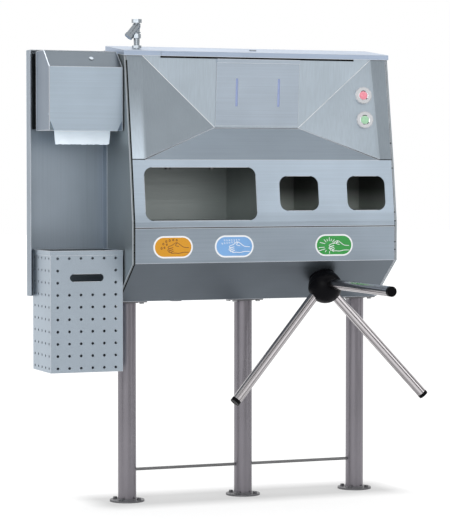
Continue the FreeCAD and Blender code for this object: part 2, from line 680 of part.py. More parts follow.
def make_rear_rail():
    """A box rail behind the lid that carries the hinges."""
    wall = "sheet_gauge"
    depth = "(lid_rear_depth - sheet_gauge)"
    outer = box("rail_outer", f"2 * {rimmed_half}", depth, "20", f"-{rimmed_half}",
                ahead("lid_rear_depth"), "rail_level - 20")
    inner = box("rail_inner", f"2 * {rimmed_half} + 2", f"{depth} - 2 * {wall}", "20 - 2 * sheet_gauge",
                f"-{rimmed_half} - 1", ahead("lid_rear_depth - sheet_gauge"),
                "rail_level - 20 + sheet_gauge")
    keep("rear_rail", cut("rear_rail", outer, inner))

    leaves = []
    pins = []
    for spot in hinge_spots:
        whole = "3 * knuckle_length + 2 * moving_gap"
        start = f"{spot} - 1.5 * knuckle_length - moving_gap"
        leaf = box("fixed_leaf", whole, "lid_rear_depth - 4", "1.5", start,
                   ahead("lid_rear_depth - 2"), "rail_level")
        knuckles = [leaf]
        for end in (start, f"{spot} + knuckle_length / 2 + moving_gap"):
            knuckles.append(cylinder("fixed_knuckle", "knuckle_radius", "knuckle_length", end,
                                     ahead("hinge_depth"), "hinge_level", X_AXIS))
            knuckles.append(box("knuckle_web", "knuckle_length", "knuckle_radius",
                                "hinge_level - rail_level", end,
                                ahead("hinge_depth + knuckle_radius / 2"), "rail_level"))
        bore = cylinder("fixed_bore", "hinge_pin_radius + fit_gap", f"{whole} + 4", f"{start} - 2",
                        ahead("hinge_depth"), "hinge_level", X_AXIS)
        leaves.append(cut("hinge_leaf", fuse("leaf_fused", *knuckles), bore))
        pins.append(cylinder("hinge_pin", "hinge_pin_radius", f"{whole} + 2", f"{start} - 1",
                             ahead("hinge_depth"), "hinge_level", X_AXIS))
    keep("hinge_leaves", group("hinge_leaves", *leaves))
    keep("hinge_pins", group("hinge_pins", *pins))


lid_tilt = Rotation(X_AXIS, math.degrees(math.atan(value(lid_slope))))


def key_place(lift):
    """A place on the lid lock's axis, measured up from the lid's upper face."""
    base = Vector(value("key_across"), value(ahead("key_depth")), value(lid_top("key_depth")))
    return Placement(base, lid_tilt).multiply(Placement(Vector(0, 0, lift), Rotation()))


def key_part(name, radius, length, lift):
    rod = cylinder_free(name, radius, length)
    rod.Placement = key_place(value(lift))
    return rod


def make_lid_lock():
    barrel = key_part("lock_barrel", "key_radius", "36", "-34")
    collar = key_part("lock_collar", "key_radius + 2", "2.5", "0.4")
    cam = doc.addObject("Part::Box", "lock_cam")
    bind(cam, Length="cam_reach + 8", Width="16", Height="3")
    cam.Placement = key_place(-37).multiply(Placement(Vector(-8, -8, 0), Rotation()))
    slit = doc.addObject("Part::Box", "lock_slit")
    bind(slit, Length="2", Width="9", Height="6")
    slit.Placement = key_place(-1).multiply(Placement(Vector(-1, -4.5, 0), Rotation()))
    keep("lid_lock", cut("lid_lock", fuse("lock_fused", barrel, collar, cam), slit))
    reach, level = "(key_depth + cam_reach - 8)", "(top_level - 10)"
    front = (f"(recess_depth - sheet_gauge + ({level} - recess_level)"
             " * (top_depth - recess_depth) / (top_level - recess_level))")
    keep("lock_keeper", box("lock_keeper", "40", f"{front} - {reach}", "3", "key_across - 20",
                            ahead(front), level))


# ---- wet cells ---------------------------------------------------------------------------------

def make_cell(name, centre, width, low, high, depth):
    """A box behind an opening, closed on five sides, whose mouth follows the sloping panel."""
    body = new_body(name)
    low_out, high_out = f"({low} - basin_margin)", f"({high} + basin_margin)"
    back = ahead(f"hood_depth - {depth}")
    profile = []
    for level in (low_out, high_out):
        profile.append((f"{panel_y(level)} + sheet_gauge", level))
    outer = [profile[0], (back, low_out), (back, high_out), profile[1]]
    pad(body, outline(sketch_on(body, "YZ_Plane"), outer), f"{width} + 2 * basin_margin",
        symmetric=True)
    low_in, high_in = f"({low_out} + sheet_gauge)", f"({high_out} - sheet_gauge)"
    inner_back = f"{back} - sheet_gauge"
    inner = [(f"{panel_y(low_in)} - 20", low_in), (inner_back, low_in), (inner_back, high_in),
             (f"{panel_y(high_in)} - 20", high_in)]
    pocket(body, outline(sketch_on(body, "YZ_Plane"), inner),
           f"{width} + 2 * basin_margin - 2 * sheet_gauge")
    return place(body, centre)


def make_wet_cells():
    width = "(basin_left - basin_right)"
    middle = "-(basin_left + basin_right) / 2"
    cell = make_cell("basin_cell", middle, width, "basin_low", "basin_high", "basin_depth")
    hole = cylinder("basin_hole", "drain_radius - sheet_gauge", "20", "-drain_across",
                    ahead("drain_depth"), "basin_low - basin_margin - 10")
    keep("wash_basin", cut("wash_basin", cell, hole))

    base = "basin_low - basin_margin"
    length = f"({base} - under_level + drain_stub)"
    pipe = cylinder("drain_pipe", "drain_radius - 1", length, "-drain_across",
                    ahead("drain_depth"), "under_level - drain_stub")
    lip = cylinder("drain_tail", "drain_radius", "drain_lip", "-drain_across",
                   ahead("drain_depth"), "under_level - drain_stub")
    collar = cylinder("drain_collar", "drain_radius + 8", "5", "-drain_across",
                      ahead("drain_depth"), f"{base} - 5")
    bore = cylinder("drain_bore", "drain_radius - sheet_gauge", f"{length} + 10", "-drain_across",
                    ahead("drain_depth"), "under_level - drain_stub - 5")
    keep("basin_drain", cut("basin_drain", fuse("drain_fused", pipe, lip, collar), bore))

    chambers = []
    nozzles = []
    for name in ("chamber_middle_at", "chamber_right_at"):
        chambers.append(make_cell(name.replace("_at", ""), name, "chamber_width", "chamber_low",
                                  "chamber_high", "chamber_depth"))
        roof = "(chamber_high + basin_margin - sheet_gauge)"
        cone = doc.addObject("Part::Cone", "nozzle")
        bind(cone, Radius1="7", Radius2="12", Height="nozzle_drop")
        nozzles.append(place(cone, name, ahead("hood_depth - chamber_depth / 2"),
                             f"{roof} - nozzle_drop"))
    keep("spray_chambers", group("spray_chambers", *chambers))
    keep("spray_nozzles", group("spray_nozzles", *nozzles))

    spouts = []
    for share in ("0.3", "0.7"):
        x = f"-basin_left + {share} * {width}"
        spouts.append(cylinder("spout", "spout_radius", "spout_drop", x, ahead("hood_depth - 90"),
                               "basin_high + basin_margin - sheet_gauge - spout_drop"))
    keep("basin_spouts", group("basin_spouts", *spouts))


# ---- supplies inside ---------------------------------------------------------------------------

def make_supplies():
    shelf_front = "(recess_depth - 5)"
    keep("canister_shelf", box("canister_shelf", "canister_offset + canister_width + 335",
                               f"{shelf_front} - sheet_gauge", "sheet_gauge",
                               "-canister_offset - canister_width / 2 - 20", ahead(shelf_front),
                               "shelf_level - sheet_gauge"))
    jars = []
    for name, step in (("canister_soap", -1), ("canister_disinfectant", 1)):
        centre = f"{step} * canister_offset"
        jar = box(name + "_jar", "canister_width", "canister_depth", "canister_height",
                  f"{centre} - canister_width / 2", ahead(f"{shelf_front} - 2"), "shelf_level")
        soft = doc.addObject("Part::Fillet", name + "_soft")
        soft.Base = jar
        doc.recompute()
        soft.Edges = [(index + 1, 12, 12) for index in range(12)]
        neck = cylinder(name + "_neck", "22", "18", centre,
                        ahead(f"{shelf_front} - 2 - canister_depth / 2"),
                        "shelf_level + canister_height")
        jars.append(fuse(name, soft, neck))
    keep("canisters", group("canisters", *jars))
    base = box("pump_base", "70", "100", "10", "canister_offset + 140", ahead("160"), "shelf_level")
    motor = cylinder("pump_motor", "27", "110", "canister_offset + 175", ahead("165"),
                     "shelf_level + 35", Y_AXIS)
    keep("dosing_pump", fuse("dosing_pump", base, motor))
    keep("control_box", box("control_box", "110", "60", "200", "cabinet_width / 2 - 140",
                            ahead("sheet_gauge + 60"), "shelf_level + 20"))


# ---- labels and lamps --------------------------------------------------------------------------

def make_labels():
    radius = "label_height / 2"
    spots = (("label_soap", "-(basin_left + basin_right) / 2 - 102"),
             ("label_water", "-(basin_left + basin_right) / 2 + 111"),
             ("label_disinfect", "(chamber_middle_at + chamber_right_at) / 2 - 1"))
    for name, centre in spots:
        reach = f"(label_width / 2 - {radius})"
        y = ahead("front_depth + label_gauge")
        middle = box(name + "_bar", f"2 * {reach}", "label_gauge", "label_height",
                     f"{centre} - {reach}", y, f"label_level - {radius}")
        pieces = [middle]
        for step in (-1, 1):
            pieces.append(cylinder(name + "_end", radius, "label_gauge", f"{centre} + {step} * {reach}",
                                   ahead("front_depth"), "label_level", Y_AXIS * -1))
        keep(name, fuse(name, *pieces))


def make_lamps():
    bezels = []
    for colour in ("red", "green"):
        spot = lamp_place(f"lamp_{colour}_level")
        body = new_body(f"bezel_{colour}")
        drawing = ring(sketch_on(body, "XY_Plane"), "lamp_radius")
        ring(drawing, "lens_radius + fit_gap")
        pad(body, drawing, "lamp_proud")
        scallop = ring(sketch_on(body, "XY_Plane"), "lamp_radius / 12", "lamp_radius * 1.04")
        polar(body, pocket(body, scallop), 12)
        body.Placement = spot
        bezels.append(body)

        rim = cylinder_free(f"lens_{colour}_rim", "lens_radius", "lamp_proud")
        dome = doc.addObject("Part::Sphere", f"lens_{colour}_dome")
        bind(dome, Radius="lens_radius * 1.25")
        dome.Placement = Placement(Vector(0, 0, value("lamp_proud - lens_radius * 0.75")), Rotation())
        slab = cylinder_free(f"lens_{colour}_slab", "lens_radius", "lens_radius")
        slab.Placement = Placement(Vector(0, 0, value("lamp_proud")), Rotation())
        crown = doc.addObject("Part::Common", f"lens_{colour}_crown")
        crown.Base = dome
        crown.Tool = slab
        shank = cylinder_free(f"lens_{colour}_shank", "lamp_shank", "45")
        shank.Placement = Placement(Vector(0, 0, -45), Rotation())
        lamp = fuse(f"lamp_{colour}", rim, crown, shank)
        lamp.Placement = spot
        keep(f"lamp_{colour}", lamp)
    keep("lamp_bezels", group("lamp_bezels", *bezels))


# ---- wing panel, dispenser and basket ----------------------------------------------------------

def make_wing():
    left = f"(-{half_width} - wing_width)"
    outer = box("wing_outer", "wing_width", "wing_flange", "wing_high - wing_low", left,
                ahead("wing_flange"), "wing_low")
    inner = box("wing_inner", "wing_width - 2 * sheet_gauge", "wing_flange",
                "wing_high - wing_low - 2 * sheet_gauge", f"{left} + sheet_gauge",
                ahead("wing_flange + sheet_gauge"), "wing_low + sheet_gauge")
    relief = box("wing_relief", "wing_width - 2 * sheet_gauge", "wing_flange", "3 * sheet_gauge",
                 f"{left} + sheet_gauge", ahead("wing_flange + basket_rear - 3"),
                 "wing_low - sheet_gauge")
    keep("wing_panel", cut("wing_panel", outer, inner, relief))


def make_dispenser():
    gauge = "cover_gauge"
    width = "(box_left - box_right)"
    centre = "-(box_left + box_right) / 2"
    cheek = [(ahead("box_rear"), "box_low"), (ahead("box_front"), "box_low"),
             (ahead("box_front"), "facet_level"), (ahead("facet_depth"), "box_high"),
             (ahead("box_rear"), "box_high")]
    case = new_body("dispenser_case")
    pad(case, outline(sketch_on(case, "YZ_Plane"), cheek), width, symmetric=True)
    back_wall, brow = ahead(f"box_rear + {gauge}"), ahead(f"facet_depth - {gauge}")
    room = [(back_wall, f"box_low + {gauge}"), (ahead("box_front + 5"), f"box_low + {gauge}"),
            (ahead("box_front + 5"), "box_high + 20"), (brow, "box_high + 20"),
            (brow, f"box_high - {gauge}"), (back_wall, f"box_high - {gauge}")]
    pocket(case, outline(sketch_on(case, "YZ_Plane"), room), f"{width} - 2 * {gauge}")
    mouth = [(ahead("box_front + 5"), "box_low - 5"), (ahead("towel_depth - 6"), "box_low - 5"),
             (ahead("towel_depth - 6"), "box_low + 20"), (ahead("box_front + 5"), "box_low + 20")]
    pocket(case, outline(sketch_on(case, "YZ_Plane"), mouth), f"{width} - 2 * {gauge}")
    place(case, centre)
    pin_holes = cylinder("case_pin_hole", "3 + fit_gap", f"{width} + 4", "-box_left - 2",
                         ahead("cover_pivot_depth"), "cover_pivot_level", X_AXIS)
    keep("dispenser_case", cut("dispenser_case", case, pin_holes))

    shell = box("back_shell", f"{width} - 10", "box_rear - sheet_gauge", "box_high - box_low - 10",
                "-box_left + 5", ahead("box_rear"), "box_low + 5")
    hollow = box("back_hollow", f"{width} - 16", "box_rear - sheet_gauge - 3",
                 "box_high - box_low - 16", "-box_left + 8", ahead("box_rear + 1"), "box_low + 8")
    keep("dispenser_back", cut("dispenser_back", shell, hollow))
    make_dispenser_cover(width, centre, gauge)

    stack = new_body("towel_stack")
    face, rear, drop = ahead("towel_depth"), ahead("box_rear + 4"), ahead("towel_depth - 4")
    profile = [(rear, f"box_low + {gauge}"), (drop, f"box_low + {gauge}"),
               (drop, "towel_low + 3"), (face, "towel_low"), (face, "facet_level - 8"),
               (rear, "facet_level - 8")]
    pad(stack, outline(sketch_on(stack, "YZ_Plane"), profile), "towel_width", symmetric=True)
    place(keep("towel_stack", stack), f"{centre} + 9")


def make_dispenser_cover(width, centre, gauge):
    """The front and the sloping top facet, bent from one sheet, with a pivot stud at each side."""
    front, knee = ahead("box_front"), "facet_level"
    turn_back = 16
    rise, run = "(box_high - facet_level)", "(box_front - facet_depth)"
    stretch = math.hypot(value(rise), value(run)) / value(run)
    drop = f"({gauge} * {stretch})"
    low = "(box_low - 2)"
    profile = [
        (front, low), (front, knee), (ahead("facet_depth"), "box_high"),
        (ahead("facet_depth"), f"box_high - {drop}"),
        (f"{front} + {gauge}", f"facet_level + {gauge} * {rise} / {run} - {drop}"),
        (f"{front} + {gauge}", low),
    ]
    cover = new_body("cover_sheet")
    span = f"({width} - 2 * {gauge} - 2 * moving_gap)"
    pad(cover, outline(sketch_on(cover, "YZ_Plane"), profile), span, symmetric=True)
    for side in (-1, 1):
        edge = f"{side} * {span} / 2"
        corner = [(f"{edge} - {side} * {turn_back}", "box_low - 5"),
                  (f"{edge} + {side} * 5", "box_low - 5"), (f"{edge} + {side} * 5", "box_low + 32"),
                  (edge, "box_low + 32"), (f"{edge} - {side} * {turn_back}", "box_low - 2")]
        pocket(cover, outline(sketch_on(cover, "XZ_Plane"), corner))
    place(cover, centre)
    pieces = [cover]
    for side in (-1, 1):
        outer = f"({centre} + {side} * {width} / 2)"
        studs_from = outer if side < 0 else f"({outer} - 22)"
        pieces.append(cylinder("cover_stud", "3", "22", studs_from, ahead("cover_pivot_depth"),
                               "cover_pivot_level", X_AXIS))
        tab_x = f"({outer} - {side} * 20)" if side < 0 else f"({outer} - 22)"
        pieces.append(box("cover_tab", "2", "box_front - cover_pivot_depth + 3", "8", tab_x,
                          ahead("box_front - cover_gauge / 2"), "cover_pivot_level - 4"))
    hole = facet_part("cover_key_hole", "7 + moving_gap", "20", -10)
    keep("dispenser_cover", cut("dispenser_cover", fuse("cover_fused", *pieces), hole))

    plug = facet_part("cover_plug", "7", "18", -16)
    cam = doc.addObject("Part::Box", "cover_cam")
    bind(cam, Length="22", Width="10", Height="2")
    cam.Placement = facet_place(-18).multiply(Placement(Vector(-5, -5, 0), Rotation()))
    keep("dispenser_lock", fuse("dispenser_lock", plug, cam))


def facet_place(lift):
    """A place on the dispenser lock's axis, measured out from the cover's sloping facet."""
    run, rise = value("box_front - facet_depth"), value("box_high - facet_level")
    share = 0.47
    base = Vector(-value("(box_left + box_right) / 2 - 28"), value(ahead("facet_depth")) - run * share,
                  value("box_high") - rise * share)
    turn = Rotation(X_AXIS, math.degrees(math.atan2(rise, run)))
    return Placement(base, turn).multiply(Placement(Vector(0, 0, lift), Rotation()))


def facet_part(name, radius, length, lift):
    rod = cylinder_free(name, radius, length)
    rod.Placement = facet_place(lift)
    return rod


def make_basket():
    gauge = "basket_gauge"
    width, depth = "(basket_left - basket_right)", "(basket_front - basket_rear)"
    height = "(basket_high - basket_low)"
    outer = box("basket_outer", width, depth, height, "-basket_left", ahead("basket_front"), "basket_low")
    hem = box("basket_hem_band", f"{width} + 2 * {gauge}", f"{depth} + {gauge}", "basket_hem",
              f"-basket_left - {gauge}", ahead(f"basket_front + {gauge}"), "basket_high - basket_hem")
    inner = box("basket_inner", f"{width} - 2 * {gauge}", f"{depth} - 2 * {gauge}", height,
                f"-basket_left + {gauge}", ahead(f"basket_front - {gauge}"), f"basket_low + {gauge}")
    shell = cut("basket_shell", fuse("basket_blank", outer, hem), inner)

    bevel = "cleat_level + 0.42"
    cleat_points = [("basket_rear", "basket_rear - cleat_gauge - sheet_gauge"),
                    ("sheet_gauge + 0.3", "0.3 - cleat_gauge")]
    corners = [Vector(value(ahead(depth_at)), value(f"{bevel} + {rise}"), 0)
               for depth_at, rise in cleat_points]
    roof = value("cleat_level + 22")
    corners += [Vector(corners[1].x, roof, 0), Vector(corners[0].x, roof, 0)]
    cleat = side_face(corners, value("-(basket_left + basket_right) / 2 - cleat_width / 2"))
    cleat = solid("basket_cleat", cleat.extrude(X_AXIS * value("cleat_width")))
    blank = fuse("basket_fused", shell, cleat)
    keep("waste_basket", cut("waste_basket", blank, *basket_holes(width, depth)))

    wall = [("sheet_gauge", -24), ("sheet_gauge + cleat_gauge", -24),
            ("sheet_gauge + cleat_gauge", 0), ("sheet_gauge", -value("cleat_gauge"))]
    corners = [Vector(value(ahead(depth_at)), value("cleat_level") + rise, 0) for depth_at, rise in wall]
    face = side_face(corners, value("-(basket_left + basket_right) / 2 - cleat_width / 2"))
    keep("basket_hanger", solid("basket_hanger", face.extrude(X_AXIS * value("cleat_width"))))


def basket_holes(width, depth):
    """Rows of round holes through the front, back and sides, and the stadium-shaped grip."""
    columns, rows, side_columns = 6, 10, 5
    middle = "-(basket_left + basket_right) / 2"
    holes = []
    for row in range(rows):
        level = f"basket_low + 14 + {row} * perforation_pitch"
        for column in range(columns):
            inner = 1 <= column <= columns - 2
            if inner and row in (rows - 2, rows - 3):
                continue
            across = f"{middle} + ({column} - {(columns - 1) / 2}) * perforation_pitch"
            holes.append(cylinder("front_hole", "perforation / 2", "30", across,
                                  ahead("basket_front - 15"), level, Y_AXIS * -1))
        for column in range(side_columns):
            back = (f"(basket_front + basket_rear) / 2 + ({column} - {(side_columns - 1) / 2})"
                    " * (perforation_pitch - 1.3)")
            holes.append(cylinder("side_hole", "perforation / 2", f"{width} + 30",
                                  "-basket_left - 15", ahead(back), level, X_AXIS))
    radius = "grip_height / 2"
    reach = f"(grip_width / 2 - {radius})"
    holes.append(box("grip_bar", f"2 * {reach}", "30", "grip_height", f"{middle} - {reach}",
                     ahead("basket_front + 15"), f"grip_level - {radius}"))
    for step in (-1, 1):
        holes.append(cylinder("grip_end", radius, "30", f"{middle} + {step} * {reach}",
                              ahead("basket_front - 15"), "grip_level", Y_AXIS * -1))
    return holes


# ---- tripod turnstile --------------------------------------------------------------------------

def arm_turn(index):
    """The turn from the tripod's axis to one arm; arm 0 is the one that bars the way."""
    lean = math.radians(arm_lean)
    round_axis = math.radians(120 * index)
    way = Vector(math.sin(lean) * math.sin(round_axis), math.sin(lean) * math.cos(round_axis),
                 math.cos(lean))
    return Rotation(Z_AXIS, way)


def make_tripod():
    ball = doc.addObject("Part::Sphere", "hub_ball")
    bind(ball, Radius="hub_radius")
    ball.Placement = Placement(Vector(0, 0, value("ball_rise")), Rotation())
    floor = cylinder_free("hub_floor", "hub_radius + 5", "hub_radius")
    floor.Placement = Placement(Vector(0, 0, -value("hub_standoff - 1 + hub_radius")), Rotation())
    neck = cylinder_free("hub_neck", "neck_radius", "hub_standoff")
    neck.Placement = Placement(Vector(0, 0, -value("hub_standoff - 1")), Rotation())
    bore = cylinder_free("hub_bore", "shaft_radius + fit_gap", "hub_standoff + 25")
    bore.Placement = Placement(Vector(0, 0, -value("hub_standoff + 25")), Rotation())
    tools = [bore]
    for index in range(3):
        socket = cylinder_free(f"hub_socket_{index}", "arm_diameter / 2 + fit_gap", "hub_radius + ball_rise")
        socket.Placement = Placement(Vector(), arm_turn(index)).multiply(
            Placement(Vector(0, 0, value("arm_root")), Rotation()))
        tools.append(socket)
    hub = cut("tripod_hub", fuse("hub_fused", ball, neck), floor, *tools)
    keep("tripod_hub", on_tripod(hub))

    caps = []
    for index, name in enumerate(("arm_front", "arm_right", "arm_left")):
        tube = new_body(name)
        drawing = ring(sketch_on(tube, "XY_Plane"), "arm_diameter / 2")
        ring(drawing, "arm_diameter / 2 - arm_wall")
        pad(tube, drawing, "arm_reach - arm_root - cap_thickness")
        turn = arm_turn(index)
        way = turn.multVec(Z_AXIS)
        keep(name, on_tripod(tube, way * value("arm_root"), turn))
        disc = cylinder_free(f"cap_disc_{index}", "arm_diameter / 2", "cap_thickness")
        plug = cylinder_free(f"cap_plug_{index}", "arm_diameter / 2 - arm_wall - fit_gap", "cap_plug")
        plug.Placement = Placement(Vector(0, 0, -value("cap_plug")), Rotation())
        cap = fuse(f"cap_{index}", disc, plug)
        caps.append(on_tripod(cap, way * value("arm_reach - cap_thickness"), turn))
    keep("arm_caps", group("arm_caps", *caps))

    make_mechanism()


def make_mechanism():
    """The shaft with its two bearings, the housing behind the slope, and the indexing cam."""
    face = -value("hub_standoff + sheet_gauge")
    length = value("housing_length")
    shaft_length = length + value("sheet_gauge + hub_standoff + cam_thickness") + 6
    shaft = cylinder_free("tripod_shaft", "shaft_radius", shaft_length)
    keep("tripod_shaft", on_tripod(shaft, Vector(0, 0, -shaft_length)))

    block = doc.addObject("Part::Box", "housing_block")
    bind(block, Length="100", Width="105", Height="housing_length")
    block.Placement = Placement(Vector(-50, -70, face - length), Rotation())
    bore = cylinder_free("housing_bore", "bearing_radius + fit_gap", "housing_length + 4")
    bore.Placement = Placement(Vector(0, 0, face - length - 2), Rotation())
    keep("turnstile_housing", on_tripod(cut("turnstile_housing", block, bore)))

    bearings = []
    for index, start in enumerate((face - value("bearing_width"), face - length)):
        body = new_body(f"bearing_{index}")
        drawing = ring(sketch_on(body, "XY_Plane"), "bearing_radius")
        ring(drawing, "shaft_radius + fit_gap")
        pad(body, drawing, "bearing_width")
        bearings.append(on_tripod(body, Vector(0, 0, start)))
    keep("turnstile_bearings", group("turnstile_bearings", *bearings))

    cam = new_body("index_cam")
    drawing = ring(sketch_on(cam, "XY_Plane"), "cam_radius")
    ring(drawing, "shaft_radius + fit_gap")
    pad(cam, drawing, "cam_thickness")
    notch = ring(sketch_on(cam, "XY_Plane"), "cam_radius / 3", "cam_radius * 1.1")
    polar(cam, pocket(cam, notch), 3)
    keep("index_cam", on_tripod(cam, Vector(0, 0, face - length - 2 - value("cam_thickness"))))


# ---- water inlet -------------------------------------------------------------------------------

def make_inlet():
    x, y = "-inlet_across", ahead("inlet_depth")
    seat = lid_top("inlet_depth - pipe_radius - 6")
    pipe = cylinder("pipe_bar", "pipe_radius", "strainer_low - valve_level", x, y, "valve_level")
    nut = prism("pipe_nut", "2 * (pipe_radius + 4)", "9", x, y, seat)
    bore = cylinder("pipe_bore", "pipe_radius - 2.5", "strainer_low - valve_level + 4", x, y,
                    "valve_level - 2")
    keep("inlet_pipe", cut("inlet_pipe", fuse("pipe_fused", pipe, nut), bore))

    valve = box("valve_block", "44", "40", "36", "-inlet_across - 22", ahead("inlet_depth + 20"),
                "valve_level - 36")
    coil = cylinder("valve_coil", "17", "45", x, ahead("inlet_depth - 15"), "valve_level - 18", Y_AXIS)
    keep("water_valve", fuse("water_valve", valve, coil))

    way = Vector(-0.64, 0, -0.768).normalize()
    middle = value("strainer_low + 39")
    stem = cylinder("strainer_stem", "strainer_radius", "strainer_high - strainer_low", x, y,
                    "strainer_low")
    collar = prism("strainer_collar", "2 * collar_radius", "collar_height", x, y,
                   "strainer_high - collar_height")
    boss = prism("strainer_boss", "2 * strainer_radius + 3", "14", x, y, "strainer_low")
    branch = cylinder_free("strainer_branch", "branch_radius", "branch_length - 10")
    start = Vector(value(x), value(y), middle)
    branch.Placement = Placement(start, Rotation(Z_AXIS, way))
    elbow = doc.addObject("Part::Sphere", "strainer_elbow")
    bind(elbow, Radius="branch_radius")
    elbow.Placement = Placement(start, Rotation())
    bore = cylinder("strainer_bore", "thread_radius", "collar_height + 1", x, y,
                    "strainer_high - collar_height")
    casting = fuse("strainer_fused", stem, collar, boss, branch, elbow)
    keep("strainer_body", cut("strainer_body", casting, bore))
    cap = doc.addObject("Part::Prism", "strainer_cap")
    cap.Polygon = 6
    bind(cap, Circumradius="branch_radius + 1.5", Height="10")
    cap.Placement = Placement(start + way * value("branch_length - 10"), Rotation(Z_AXIS, way))
    keep("strainer_cap", cap)


make_legs()
make_side_panels()
make_carriers()
make_back_and_floor()
make_hood()
make_sight_panel()
make_opening_panel()
make_apron()
make_covers()
make_rear_rail()
make_lid_lock()
make_wet_cells()
make_supplies()
make_labels()
make_lamps()
make_wing()
make_dispenser()
make_basket()
make_tripod()
make_inlet()
doc.recompute()

faults = [item.Label for item in doc.Objects if {"Invalid", "Error"} & set(item.State)]
for label, thing in nodes.items():
    if thing.Shape.isNull() or not thing.Shape.isValid():
        faults.append(label)
if faults:
    raise ValueError("these did not build: " + ", ".join(faults))

os.makedirs("parts", exist_ok=True)
for label, thing in nodes.items():
    thing.Shape.exportStep(os.path.join("parts", label + ".step"))
print(len(nodes), "sub-parts written")
print("hub centre", tuple(round(part, 3) for part in hub_centre), "arm lean", round(arm_lean, 3))
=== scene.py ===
import json
import math

import bmesh
import bpy
from mathutils import Matrix, Vector, noise


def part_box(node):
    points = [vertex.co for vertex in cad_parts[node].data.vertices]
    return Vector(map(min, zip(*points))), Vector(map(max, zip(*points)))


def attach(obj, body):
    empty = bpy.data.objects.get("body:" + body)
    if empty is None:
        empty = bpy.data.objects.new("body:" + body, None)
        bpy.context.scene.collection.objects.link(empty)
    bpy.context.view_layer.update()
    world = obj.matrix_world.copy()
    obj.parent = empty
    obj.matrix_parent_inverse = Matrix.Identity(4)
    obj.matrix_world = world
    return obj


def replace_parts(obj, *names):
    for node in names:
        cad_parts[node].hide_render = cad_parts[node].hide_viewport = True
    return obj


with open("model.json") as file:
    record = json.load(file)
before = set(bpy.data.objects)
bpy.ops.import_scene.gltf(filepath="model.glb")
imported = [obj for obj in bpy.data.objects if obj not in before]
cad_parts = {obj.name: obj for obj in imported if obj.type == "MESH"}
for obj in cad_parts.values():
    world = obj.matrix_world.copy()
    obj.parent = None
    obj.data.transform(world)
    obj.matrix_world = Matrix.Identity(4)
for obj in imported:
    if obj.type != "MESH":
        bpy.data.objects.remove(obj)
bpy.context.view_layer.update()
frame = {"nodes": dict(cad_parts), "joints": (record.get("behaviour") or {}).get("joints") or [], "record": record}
nodes = frame["nodes"]
joints = {joint["name"]: joint for joint in frame["joints"]}
scene = bpy.context.scene
MM = 0.001


# ---- materials -----------------------------------------------------------------------------------

def new_material(name, color, roughness, metallic=0.0):
    material = bpy.data.materials.new(name)
    material.use_nodes = True
    shader = material.node_tree.nodes["Principled BSDF"]
    shader.inputs["Base Color"].default_value = (*color, 1)
    shader.inputs["Roughness"].default_value = roughness
    shader.inputs["Metallic"].default_value = metallic
    return material, material.node_tree, shader


def noise_field(tree, scale, detail=3.0, stretch=(1, 1, 1)):
    """A noise pattern in the row frame, in metres, stretched along an axis."""
    coords = tree.nodes.new("ShaderNodeTexCoord")
    mapping = tree.nodes.new("ShaderNodeMapping")
    mapping.inputs["Scale"].default_value = stretch
    field = tree.nodes.new("ShaderNodeTexNoise")
    field.inputs["Scale"].default_value = scale
    field.inputs["Detail"].default_value = detail
    tree.links.new(coords.outputs["Object"], mapping.inputs["Vector"])
    tree.links.new(mapping.outputs["Vector"], field.inputs["Vector"])
    return field.outputs["Fac"]


def spread(tree, field, low, high, start=0.3, end=0.7):
    """The field's values from start to end, mapped to low to high."""
    ranged = tree.nodes.new("ShaderNodeMapRange")
    for name, number in (("From Min", start), ("From Max", end), ("To Min", low), ("To Max", high)):
        ranged.inputs[name].default_value = number
    tree.links.new(field, ranged.inputs["Value"])
    return ranged.outputs["Result"]


def tint(tree, shader, color, *factors):
    """The base colour, made lighter or darker by each factor."""
    current = None
    for factor in factors:
        scaled = tree.nodes.new("ShaderNodeVectorMath")
        scaled.operation = "SCALE"
        if current is None:
            scaled.inputs[0].default_value = color
        else:
            tree.links.new(current, scaled.inputs[0])
        tree.links.new(factor, scaled.inputs["Scale"])
        current = scaled.outputs["Vector"]
    tree.links.new(current, shader.inputs["Base Color"])


def relief(tree, shader, height, strength, distance):
    bump = tree.nodes.new("ShaderNodeBump")
    bump.inputs["Strength"].default_value = strength
    bump.inputs["Distance"].default_value = distance
    tree.links.new(height, bump.inputs["Height"])
    tree.links.new(bump.outputs["Normal"], shader.inputs["Normal"])


def brushed(name, color, roughness=0.34, grain=(3, 240, 240), metallic=0.85, streak=0.05, cloud=0.06):
    """Satin stainless: fine streaks along the grain and broad, faint clouds from handling."""
    material, tree, shader = new_material(name, color, roughness, metallic)
    streaks = noise_field(tree, 1.0, 6.0, grain)
    clouds = noise_field(tree, 5.0, 2.0)
    tint(tree, shader, color, spread(tree, streaks, 1 - streak, 1 + streak),
         spread(tree, clouds, 1 - cloud, 1 + cloud))
    tree.links.new(spread(tree, streaks, roughness - 0.06, roughness + 0.08), shader.inputs["Roughness"])
    relief(tree, shader, streaks, 0.12, 0.0004)
    return material


def moulded(name, color, roughness=0.45, speckle=0.08, scale=900.0, bump=0.2):
    """Moulded plastic or rubber with a fine grain."""
    material, tree, shader = new_material(name, color, roughness)
    grain = noise_field(tree, scale, 2.0)
    patches = noise_field(tree, 12.0, 3.0)
    tint(tree, shader, color, spread(tree, grain, 1 - speckle, 1 + speckle),
         spread(tree, patches, 1 - speckle, 1 + speckle))
    tree.links.new(spread(tree, patches, roughness - 0.06, roughness + 0.08), shader.inputs["Roughness"])
    relief(tree, shader, grain, bump, 0.0003)
    return material


def polished(name, color, roughness=0.1, haze=0.06):
    """Plated or polished metal with faint polishing marks and a little haze."""
    material, tree, shader = new_material(name, color, roughness, 1.0)
    marks = noise_field(tree, 60.0, 4.0)
    tint(tree, shader, color, spread(tree, marks, 0.97, 1.03))
    tree.links.new(spread(tree, marks, roughness, roughness + haze), shader.inputs["Roughness"])
    return material


